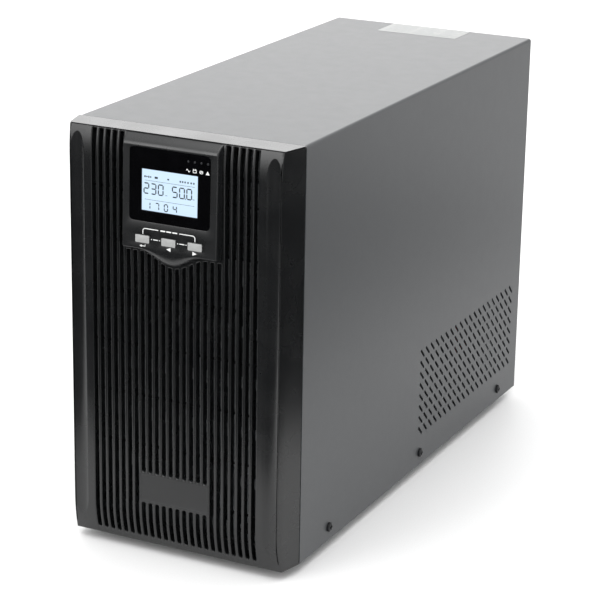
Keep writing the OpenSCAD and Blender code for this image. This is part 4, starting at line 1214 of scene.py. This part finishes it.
def make_stud():
    """Earth stud: a threaded rod through the panel, with a hexagon nut on each side."""
    put = rear(*STUD_PLACE)
    shell = Shell()
    rod = [(0.1, -7.2), (2.2, -7.2)]
    for i in range(23):
        rod += [(2.5, -6.9 + 0.8 * i), (2.15, -6.5 + 0.8 * i)]
    rod += [(2, 12), (0.1, 12)]
    shell.grid(put(turned(rod, 24)), caps=(True, True))
    for low, high in ((0, 2), (-4.2, -1.2)):
        nut(shell, put, 9.2, 6, low, high, 2.3)
    return make_piece("earth_bolt", shell, finish_of("brass"), replaces=["earth_stud"])

# ---------- Finishes ----------


def add_node(tree, kind, settings=None, links=None):
    """A shader node with its settings and with links into its inputs."""
    node = tree.nodes.new(kind)
    for key, value in (settings or {}).items():
        if isinstance(key, str) and hasattr(node, key):
            setattr(node, key, value)
        else:
            node.inputs[key].default_value = value
    for key, source in (links or {}).items():
        tree.links.new(source, node.inputs[key])
    return node


def new_material(name):
    """An empty material with its node tree and Object coordinates."""
    material = bpy.data.materials.new(name)
    material.use_nodes = True
    tree = material.node_tree
    tree.nodes.clear()
    place = add_node(tree, "ShaderNodeTexCoord").outputs["Object"]
    return material, tree, place


def close_material(tree, settings, links=None):
    """The shader and output that end every material."""
    shader = add_node(tree, "ShaderNodeBsdfPrincipled", settings, links)
    add_node(tree, "ShaderNodeOutputMaterial", None, {"Surface": shader.outputs["BSDF"]})
    return shader


def rgba(shade, factor=1.0):
    """Red, green, blue and alpha of a linear colour, lightened or darkened by a factor."""
    return (*(min(float(c) * factor, 1.0) for c in shade), 1.0)


def uneven_colour(tree, place, shade, size, low=0.9, high=1.1, detail=3):
    """A colour that drifts between a darker and a lighter shade in patches of a size in metres."""
    noise = add_node(
        tree, "ShaderNodeTexNoise", {"Scale": 1 / size, "Detail": detail, "Roughness": 0.6},
        {"Vector": place}
    )
    ramp = add_node(tree, "ShaderNodeValToRGB", None, {"Fac": noise.outputs["Fac"]})
    ramp.color_ramp.elements[0].position, ramp.color_ramp.elements[1].position = 0.3, 0.7
    ramp.color_ramp.elements[0].color = rgba(shade, low)
    ramp.color_ramp.elements[1].color = rgba(shade, high)
    return ramp.outputs["Color"]


def uneven_gloss(tree, place, size, low, high):
    """A roughness that drifts between two values in patches of a size in metres."""
    noise = add_node(tree, "ShaderNodeTexNoise", {"Scale": 1 / size, "Detail": 4}, {"Vector": place})
    spread = add_node(
        tree,
        "ShaderNodeMapRange",
        {"From Min": 0.3, "From Max": 0.7, "To Min": low, "To Max": high},
        {"Value": noise.outputs["Fac"]},
    )
    return spread.outputs["Result"]


def powder_coat(name, shade):
    """Powder-coated steel: semi-matt paint baked from powder, with a fine orange peel about 0.7 mm across.

    The eye sees soft wide reflections, broken very slightly by the peel, and a finer sparkle of grains."""
    material, tree, place = new_material(name)
    peel = add_node(tree, "ShaderNodeTexNoise", {"Scale": 1 / 0.0007, "Detail": 2}, {"Vector": place})
    close_material(
        tree,
        {"IOR": 1.5, "Metallic": 0.0},
        {
            "Base Color": uneven_colour(tree, place, shade, 0.0016, 0.94, 1.06),
            "Roughness": uneven_gloss(tree, place, 0.012, 0.37, 0.39),
            "Normal": add_node(
                tree, "ShaderNodeBump", {"Distance": 0.00003}, {"Height": peel.outputs["Fac"]}
            ).outputs["Normal"],
        },
    )
    return material


def moulded_abs(name, shade, gloss=0.34, grain=0.0005):
    """Injection-moulded ABS with a spark-eroded texture: satin plastic with a very fine even grain.

    The real grain is about 0.1 mm, too fine to show, so it is drawn at about 0.5 mm. The eye sees a soft
    sheen that fades evenly, and a little unevenness where hands and moulding have polished it."""
    material, tree, place = new_material(name)
    pits = add_node(tree, "ShaderNodeTexNoise", {"Scale": 1 / grain, "Detail": 3}, {"Vector": place})
    close_material(
        tree,
        {"IOR": 1.53},
        {
            "Base Color": uneven_colour(tree, place, shade, 0.02, 0.95, 1.05),
            "Roughness": uneven_gloss(tree, place, 0.03, gloss - 0.03, gloss + 0.04),
            "Normal": add_node(
                tree, "ShaderNodeBump", {"Distance": 0.00001}, {"Height": pits.outputs["Fac"]}
            ).outputs["Normal"],
        },
    )
    return material


def galvanised_steel(name, shade):
    """Hot-dip galvanised sheet: dull zinc with spangles about 6 mm across, each with its own grey."""
    material, tree, place = new_material(name)
    spangle = add_node(tree, "ShaderNodeTexVoronoi", {"Scale": 1 / 0.006}, {"Vector": place})
    grey = add_node(tree, "ShaderNodeSeparateColor", None, {"Color": spangle.outputs["Color"]})
    ramp = add_node(tree, "ShaderNodeValToRGB", None, {"Fac": grey.outputs["Red"]})
    ramp.color_ramp.elements[0].color = rgba(shade, 0.8)
    ramp.color_ramp.elements[1].color = rgba(shade, 1.15)
    close_material(
        tree,
        {"Metallic": 1.0},
        {"Base Color": ramp.outputs["Color"], "Roughness": uneven_gloss(tree, place, 0.004, 0.35, 0.55)},
    )
    return material


def plated_metal(name, shade, gloss=0.25, scratch=0.0015):
    """Plated or drawn metal: bright, with fine random rubs about 1.5 mm long that change its gloss."""
    material, tree, place = new_material(name)
    rub = add_node(tree, "ShaderNodeTexNoise", {"Scale": 1 / scratch, "Detail": 5}, {"Vector": place})
    close_material(
        tree,
        {"Metallic": 1.0},
        {
            "Base Color": uneven_colour(tree, place, shade, 0.01, 0.92, 1.05),
            "Roughness": uneven_gloss(tree, place, 0.003, gloss - 0.06, gloss + 0.08),
            "Normal": add_node(
                tree, "ShaderNodeBump", {"Distance": 0.000005}, {"Height": rub.outputs["Fac"]}
            ).outputs["Normal"],
        },
    )
    return material


def black_oxide(name, shade):
    """Black-oxide steel, as on screws: a dark oiled metal that is a little worn, with soft bright edges."""
    material, tree, place = new_material(name)
    wear = add_node(tree, "ShaderNodeTexNoise", {"Scale": 1 / 0.002, "Detail": 4}, {"Vector": place})
    close_material(
        tree,
        {"Metallic": 0.6, "IOR": 1.5},
        {
            "Base Color": uneven_colour(tree, place, shade, 0.002, 0.7, 1.5),
            "Roughness": uneven_gloss(tree, place, 0.002, 0.25, 0.42),
            "Normal": add_node(
                tree, "ShaderNodeBump", {"Distance": 0.00001}, {"Height": wear.outputs["Fac"]}
            ).outputs["Normal"],
        },
    )
    return material


def rubber(name, shade):
    """Moulded rubber foot: dull black with a faint grey bloom in patches about 4 mm across."""
    material, tree, place = new_material(name)
    skin = add_node(tree, "ShaderNodeTexNoise", {"Scale": 1 / 0.0012, "Detail": 4}, {"Vector": place})
    close_material(
        tree,
        {"IOR": 1.5},
        {
            "Base Color": uneven_colour(tree, place, shade, 0.004, 0.8, 1.5),
            "Roughness": uneven_gloss(tree, place, 0.004, 0.6, 0.8),
            "Normal": add_node(
                tree, "ShaderNodeBump", {"Distance": 0.00004}, {"Height": skin.outputs["Fac"]}
            ).outputs["Normal"],
        },
    )
    return material


def polished_acrylic(name, shade):
    """Cast acrylic, back-painted black: a deep flat gloss like a mirror, with only the faintest waviness."""
    material, tree, place = new_material(name)
    waves = add_node(tree, "ShaderNodeTexNoise", {"Scale": 1 / 0.012, "Detail": 1}, {"Vector": place})
    close_material(
        tree,
        {"IOR": 1.49, "Coat Weight": 0.3, "Coat Roughness": 0.03},
        {
            "Base Color": uneven_colour(tree, place, shade, 0.01, 0.8, 1.2),
            "Roughness": uneven_gloss(tree, place, 0.01, 0.05, 0.09),
            "Normal": add_node(
                tree, "ShaderNodeBump", {"Distance": 0.00002}, {"Height": waves.outputs["Fac"]}
            ).outputs["Normal"],
        },
    )
    return material


def backlit_glass(name, shade, glow):
    """Liquid crystal glass with a pale backlight: an even glow, a little darker in a grid of 0.5 mm dots."""
    material, tree, place = new_material(name)
    dots = add_node(
        tree, "ShaderNodeTexVoronoi", {"Scale": 1 / 0.0005, "Randomness": 0.0}, {"Vector": place}
    )
    ramp = add_node(tree, "ShaderNodeValToRGB", None, {"Fac": dots.outputs["Distance"]})
    ramp.color_ramp.elements[0].color = rgba(shade, 1.0)
    ramp.color_ramp.elements[1].color = rgba(shade, 0.9)
    close_material(
        tree,
        {"Base Color": rgba(shade, 0.12), "Roughness": 0.2, "IOR": 1.5, "Emission Strength": glow},
        {"Emission Color": ramp.outputs["Color"]},
    )
    return material


def printed_ink(name, shade, gloss=0.45):
    """Screen-printed ink: an even coat whose colour is very slightly patchy at about 0.6 mm."""
    material, tree, place = new_material(name)
    close_material(
        tree,
        {"IOR": 1.5},
        {
            "Base Color": uneven_colour(tree, place, shade, 0.0006, 0.92, 1.0),
            "Roughness": uneven_gloss(tree, place, 0.001, gloss - 0.05, gloss + 0.05),
        },
    )
    return material


def smoked_lens(name, shade):
    """Smoked lamp lens: dark clear plastic, glossy, with a trace of its own tint."""
    material, tree, place = new_material(name)
    close_material(
        tree,
        {"IOR": 1.5},
        {
            "Base Color": uneven_colour(tree, place, shade, 0.001, 0.8, 1.3),
            "Roughness": uneven_gloss(tree, place, 0.001, 0.3, 0.4),
        },
    )
    return material


def satin_lacquer(name, shade):
    """Silver-lacquered plastic, as on push buttons: fine metal flakes of about 0.3 mm in a clear satin
    lacquer."""
    material, tree, place = new_material(name)
    flake = add_node(tree, "ShaderNodeTexVoronoi", {"Scale": 1 / 0.0003}, {"Vector": place})
    close_material(
        tree,
        {"Metallic": 0.25, "IOR": 1.5, "Coat Weight": 0.3, "Coat Roughness": 0.2},
        {
            "Base Color": uneven_colour(tree, place, shade, 0.0006, 0.94, 1.04),
            "Roughness": uneven_gloss(tree, place, 0.002, 0.28, 0.38),
            "Normal": add_node(
                tree, "ShaderNodeBump", {"Distance": 0.000004}, {"Height": flake.outputs["Distance"]}
            ).outputs["Normal"],
        },
    )
    return material


def paper(name, shade):
    """Coated label paper: matt white with fibres that show as a faint mottle about 0.8 mm across."""
    material, tree, place = new_material(name)
    fibre = add_node(tree, "ShaderNodeTexNoise", {"Scale": 1 / 0.0008, "Detail": 5}, {"Vector": place})
    close_material(
        tree,
        {"IOR": 1.45},
        {
            "Base Color": uneven_colour(tree, place, shade, 0.0012, 0.96, 1.02),
            "Roughness": uneven_gloss(tree, place, 0.003, 0.5, 0.6),
            "Normal": add_node(
                tree, "ShaderNodeBump", {"Distance": 0.00001}, {"Height": fibre.outputs["Fac"]}
            ).outputs["Normal"],
        },
    )
    return material


def painted_shade_velvet(name, shade):
    """Black velvet for the sheets that paint dark reflections (painted shade) onto the object: pile that
    swallows nearly all light, without any gloss, a little uneven every 3 mm or so."""
    material, tree, place = new_material(name)
    close_material(
        tree,
        {"Roughness": 1.0, "Specular IOR Level": 0.0},
        {"Base Color": uneven_colour(tree, place, shade, 0.003, 0.8, 1.2)},
    )
    return material


def solder_mask(name, shade):
    """Glass-fibre circuit board under green solder mask: glossy, with the weave's 1 mm squares showing
    through."""
    material, tree, place = new_material(name)
    weave = add_node(tree, "ShaderNodeTexChecker", {"Scale": 1 / 0.001}, {"Vector": place})
    weave.inputs["Color1"].default_value = rgba(shade, 0.85)
    weave.inputs["Color2"].default_value = rgba(shade, 1.1)
    close_material(
        tree,
        {"IOR": 1.5},
        {"Base Color": weave.outputs["Color"], "Roughness": uneven_gloss(tree, place, 0.002, 0.2, 0.35)},
    )
    return material


def striped_sheath(name, shade, pitch):
    """Extruded or wound insulation: glossy and smooth, with fine bands at a pitch in metres."""
    material, tree, place = new_material(name)
    bands = add_node(
        tree, "ShaderNodeTexWave",
        {"Scale": 1 / pitch / 2, "Distortion": 0.4, "bands_direction": "DIAGONAL"}, {"Vector": place}
    )
    ramp = add_node(tree, "ShaderNodeValToRGB", None, {"Fac": bands.outputs["Fac"]})
    ramp.color_ramp.elements[0].color = rgba(shade, 0.75)
    ramp.color_ramp.elements[1].color = rgba(shade, 1.15)
    close_material(
        tree,
        {"IOR": 1.5},
        {
            "Base Color": ramp.outputs["Color"],
            "Roughness": uneven_gloss(tree, place, 0.003, 0.3, 0.45),
            "Normal": add_node(
                tree, "ShaderNodeBump", {"Distance": 0.00003}, {"Height": bands.outputs["Fac"]}
            ).outputs["Normal"],
        },
    )
    return material


MATERIALS = {}


def finish_of(slot):
    """The material of a slot, made when it is first asked for."""
    if slot not in MATERIALS:
        looks = bpy.context.scene.supply_finishes
        makers = {
            "powder_coated_steel": lambda: powder_coat("powder_coat", looks.steel),
            "galvanised_steel": lambda: galvanised_steel("galvanised_steel", linear("#8e9193")),
            "bezel_plastic": lambda: moulded_abs("bezel_abs", looks.bezel, 0.26),
            "badge_plastic": lambda: moulded_abs("badge_abs", linear("#141516"), 0.5),
            "display_plastic": lambda: moulded_abs("display_abs", looks.display, 0.27),
            "window_acrylic": lambda: polished_acrylic("polished_acrylic", linear("#050506")),
            "lcd_glass": lambda: backlit_glass(
                "backlit_glass", looks.screen, bpy.context.scene.supply_display.glow
            ),
            "screen_ink": lambda: printed_ink("screen_segments", linear("#0b1218")),
            "grey_ink": lambda: printed_ink("grey_ink", linear("#8d9092")),
            "white_ink": lambda: printed_ink("white_ink", linear("#dfe0df")),
            "circuit_board": lambda: solder_mask("solder_mask", linear("#1f5c34")),
            "smoked_led": lambda: smoked_lens("smoked_lens", linear("#14161a")),
            "black_nylon": lambda: moulded_abs("glass_filled_nylon", looks.socket, 0.4, 0.0008),
            "silver_button": lambda: satin_lacquer("silver_lacquer", looks.button),
            "ribbon_cable": lambda: striped_sheath("ribbon_cable", linear("#c9c9c4"), 0.00127),
            "paper_label": lambda: paper("label_paper", linear("#a8a9a8")),
            "black_screw": lambda: black_oxide("black_oxide", linear("#1d1e20")),
            "foot_rubber": lambda: rubber("foot_rubber", linear("#1a1a1a")),
            "zinc_screw": lambda: plated_metal("bright_zinc", linear("#b4b8ba")),
            "fan_plastic": lambda: moulded_abs("fan_plastic", linear("#202224"), 0.38, 0.0008),
            "plated_wire": lambda: plated_metal("nickel_plate", linear("#cfd1d2"), 0.2),
            "connector_shell": lambda: plated_metal("tin_plate", linear("#bcbfc1"), 0.3),
            "terminal_plastic": lambda: moulded_abs("terminal_polyamide", linear("#2f7d46"), 0.35),
            "brass": lambda: plated_metal("brass", linear("#c9a75a"), 0.25),
            "breaker_plastic": lambda: moulded_abs("breaker_button_plastic", linear("#d9d9d4"), 0.35),
            "battery_case": lambda: moulded_abs("battery_case_abs", linear("#34373b"), 0.45),
            "lead_sheath": lambda: striped_sheath("lead_sheath", linear("#a5281f"), 0.004),
            "finned_aluminium": lambda: plated_metal("extruded_aluminium", linear("#a4a9ad"), 0.35),
            "capacitor_sleeve": lambda: striped_sheath("capacitor_sleeve", linear("#2c3c4b"), 0.02),
            "choke_winding": lambda: striped_sheath("enamelled_winding", linear("#7a4f2c"), 0.0016),
            # Finish of the sheets that paint dark reflections (painted shade) onto the front and side faces
            "painted_shade_black": lambda: painted_shade_velvet("painted_shade_black", linear("#08080a")),
            "floor_paper": lambda: paper("background_paper", bpy.context.scene.supply_studio.floor),
        }
        MATERIALS[slot] = makers[slot]()
    return MATERIALS[slot]

# ---------- Stage ----------

CAMERA_AT = (0.7748, -1.59426, 0.72475)
CAMERA_AHEAD, CAMERA_UP = (-0.42085, 0.85174, -0.31212), (-0.15379, 0.27210, 0.94990)


def area_light(name, at, towards, size, power, spread=180):
    """A soft rectangular light that faces a point and spreads over an angle in degrees."""
    light = bpy.data.lights.new(name, "AREA")
    light.shape = "RECTANGLE"
    light.size, light.size_y = size
    light.energy = power
    light.spread = math.radians(spread)
    lamp = bpy.data.objects.new(name, light)
    bpy.context.scene.collection.objects.link(lamp)
    lamp.location = at
    lamp.rotation_euler = (Vector(towards) - Vector(at)).to_track_quat("-Z", "Y").to_euler()
    return lamp


def make_camera(studio):
    """The camera, level but for a slight roll."""
    camera = bpy.data.cameras.new("camera")
    camera.lens = studio.lens
    camera.clip_start, camera.clip_end = 0.01, 50
    holder = bpy.data.objects.new("camera", camera)
    bpy.context.scene.collection.objects.link(holder)
    ahead, up = Vector(CAMERA_AHEAD).normalized(), Vector(CAMERA_UP)
    right = ahead.cross(up).normalized()
    turn = Matrix([right, right.cross(ahead), -ahead]).transposed().to_4x4()
    turn.translation = CAMERA_AT
    holder.matrix_world = turn
    bpy.context.scene.camera = holder


def flat_stage(name, low, high, cells, height, material):
    """A flat level grid of the stage, between two corners at a height."""
    x, y = np.meshgrid(*(np.linspace(low[i], high[i], cells + 1) for i in (0, 1)))
    points = np.column_stack([x.ravel(), y.ravel(), np.full(x.size, height)])
    index = np.arange(x.size).reshape(x.shape)
    quads = np.stack([index[:-1, :-1], index[:-1, 1:], index[1:, 1:], index[1:, :-1]], -1).reshape(-1, 4)
    mesh = bpy.data.meshes.new(name)
    mesh.from_pydata(points, [], quads.tolist())
    mesh.materials.append(material)
    sheet = bpy.data.objects.new(name, mesh)
    bpy.context.scene.collection.objects.link(sheet)
    return sheet


def make_floor():
    """A wide pale floor at the height of the feet's soles."""
    flat_stage("floor", (-9, -9), (9, 9), 12, 0, finish_of("floor_paper"))


def make_reflection_shade(name, low, high):
    """A black sheet on the floor that only reflections see: painted shade, a dark reflection painted onto
    the object's front and side faces so that they stay dark."""
    shade_sheet = flat_stage(name, low, high, 6, 0.002, finish_of("painted_shade_black"))
    shade_sheet.visible_camera = shade_sheet.visible_diffuse = shade_sheet.visible_shadow = False


# ---------- Operators ----------


class SUPPLY_OT_stage(bpy.types.Operator):
    """Make the floor, the lights and the camera"""

    bl_idname = "supply.stage"
    bl_label = "Stage"

    def execute(self, context):
        studio = context.scene.supply_studio
        make_camera(studio)
        make_floor()
        world = bpy.data.worlds.new("studio")
        world.use_nodes = True
        world.node_tree.nodes["Background"].inputs["Color"].default_value = rgba(linear("#ffffff"))
        world.node_tree.nodes["Background"].inputs["Strength"].default_value = 1
        context.scene.world = world
        context.scene.view_settings.view_transform = "Standard"
        area_light("overhead_light", (0.2, -0.65, 1.75), (0.2, -0.4, 0), (1.9, 1.8), studio.key, 140)
        area_light("back_light", (-1.5, 3.4, 1.5), (-0.2, 0, 0.2), (3.2, 2.2), studio.back)
        area_light("front_light", (-1.25, -2.75, 1.35), (0, -0.2, 0.3), (1.1, 2.3), studio.front, 120)
        area_light("far_light", (-1.2, 4.2, 3.2), (-1.2, 4.2, 0), (5, 4), studio.far, 150)
        # Painted shade: two black sheets seen only in reflections darken the front and side faces
        make_reflection_shade("front_painted_shade", (-2.5, -3), (0.6, -0.44))
        make_reflection_shade("side_painted_shade", (0.34, -0.5), (2.5, 0.85))
        return {"FINISHED"}


class SUPPLY_OT_bezel(bpy.types.Operator):
    """Make the ribbed bezel and its badge"""

    bl_idname = "supply.bezel"
    bl_label = "Bezel"

    def execute(self, context):
        sizes = context.scene.supply_bezel
        make_bezel(sizes, finish_of("bezel_plastic"))
        make_badge(sizes, finish_of("badge_plastic"))
        return {"FINISHED"}


class SUPPLY_OT_display(bpy.types.Operator):
    """Make the display housing, window, screen, printed marks and lamps"""

    bl_idname = "supply.display"
    bl_label = "Display"

    def execute(self, context):
        sizes = context.scene.supply_display
        make_housing(finish_of("display_plastic"))
        make_window(finish_of("window_acrylic"))
        make_screen(finish_of("lcd_glass"))
        make_screen_marks(sizes, finish_of("screen_ink"))
        make_print(sizes, finish_of("white_ink"))
        make_leds(finish_of("smoked_led"))
        return {"FINISHED"}


class SUPPLY_OT_buttons(bpy.types.Operator):
    """Make the three push buttons, each on its own body"""

    bl_idname = "supply.buttons"
    bl_label = "Buttons"

    def execute(self, context):
        for i, key in enumerate(("enter", "left", "right")):
            make_button(
                i, f"{key}_cap", f"{key}_key", f"{key}_button", context.scene.supply_display,
                finish_of("silver_button"),
            )
        return {"FINISHED"}


class SUPPLY_OT_screws(bpy.types.Operator):
    """Make the screws, the feet and the label"""

    bl_idname = "supply.screws"
    bl_label = "Screws, feet and label"

    def execute(self, context):
        make_screws()
        make_feet()
        make_label()
        return {"FINISHED"}


class SUPPLY_OT_fans(bpy.types.Operator):
    """Make the two fan rotors, each on its own body, and their guards"""

    bl_idname = "supply.fans"
    bl_label = "Fans"

    def execute(self, context):
        sizes = context.scene.supply_fans
        for side, name in ((-1, "left"), (1, "right")):
            plastic, wire = finish_of("fan_plastic"), finish_of("plated_wire")
            make_rotor(side, f"rotor_{name}", f"fan_{name}", f"fan_rotor_{name}", sizes, plastic)
            make_guard(side, f"wire_guard_{name}", f"fan_guard_{name}", wire)
        return {"FINISHED"}


class SUPPLY_OT_sockets(bpy.types.Operator):
    """Make the outlets, the power inlet, the input breaker and the earth stud"""

    bl_idname = "supply.sockets"
    bl_label = "Sockets and breaker"

    def execute(self, context):
        nylon = finish_of("black_nylon")
        for i, place in enumerate(OUTLET_PLACES, 1):
            make_outlet(place, OUTLET_CORE, LOW_CONTACTS, f"socket_{i}", f"outlet_{i}", nylon)
        make_outlet(
            HIGH_PLACE, HIGH_CORE, HIGH_CONTACTS, "high_current_socket", "high_current_outlet", nylon
        )
        make_inlet()
        make_breaker()
        make_stud()
        return {"FINISHED"}


class SUPPLY_OT_inside(bpy.types.Operator):
    """Give every CAD node that stays its finish"""

    bl_idname = "supply.inside"
    bl_label = "Case and inner parts"

    def execute(self, context):
        record = frame["record"]
        slots = {row["node"]: row["material_slot"] for row in record["subparts"]}
        for name, node in frame["nodes"].items():
            if not node.hide_render:
                node.data.materials.clear()
                node.data.materials.append(finish_of(slots[name]))
        return {"FINISHED"}


class SUPPLY_PT_panel(bpy.types.Panel):
    """Sizes, colours and steps of the power supply"""

    bl_idname = "SUPPLY_PT_panel"
    bl_label = "Tower power supply"
    bl_space_type = "VIEW_3D"
    bl_region_type = "UI"
    bl_category = "Power supply"

    def draw(self, context):
        for operator in OPERATORS:
            self.layout.operator(operator.bl_idname)
        for key, group in SETTINGS.items():
            box = self.layout.box()
            settings = getattr(context.scene, key)
            for name in group.__annotations__:
                box.prop(settings, name)


OPERATORS = [
    SUPPLY_OT_stage,
    SUPPLY_OT_bezel,
    SUPPLY_OT_display,
    SUPPLY_OT_buttons,
    SUPPLY_OT_screws,
    SUPPLY_OT_fans,
    SUPPLY_OT_sockets,
    SUPPLY_OT_inside,
]


def register():
    """Registers the settings, the operators and the panel."""
    for group in SETTINGS.values():
        bpy.utils.register_class(group)
    for key, group in SETTINGS.items():
        setattr(bpy.types.Scene, key, bpy.props.PointerProperty(type=group))
    for made in [*OPERATORS, SUPPLY_PT_panel]:
        bpy.utils.register_class(made)


def unregister():
    """Removes what register added."""
    for made in [SUPPLY_PT_panel, *reversed(OPERATORS)]:
        bpy.utils.unregister_class(made)
    for key in SETTINGS:
        delattr(bpy.types.Scene, key)
    for group in reversed(SETTINGS.values()):
        bpy.utils.unregister_class(group)


def main():
    """Makes everything in order."""
    register()
    for operator in OPERATORS:
        group, name = operator.bl_idname.split(".")
        getattr(getattr(bpy.ops, group), name)()


if __name__ == "__main__":
    main()
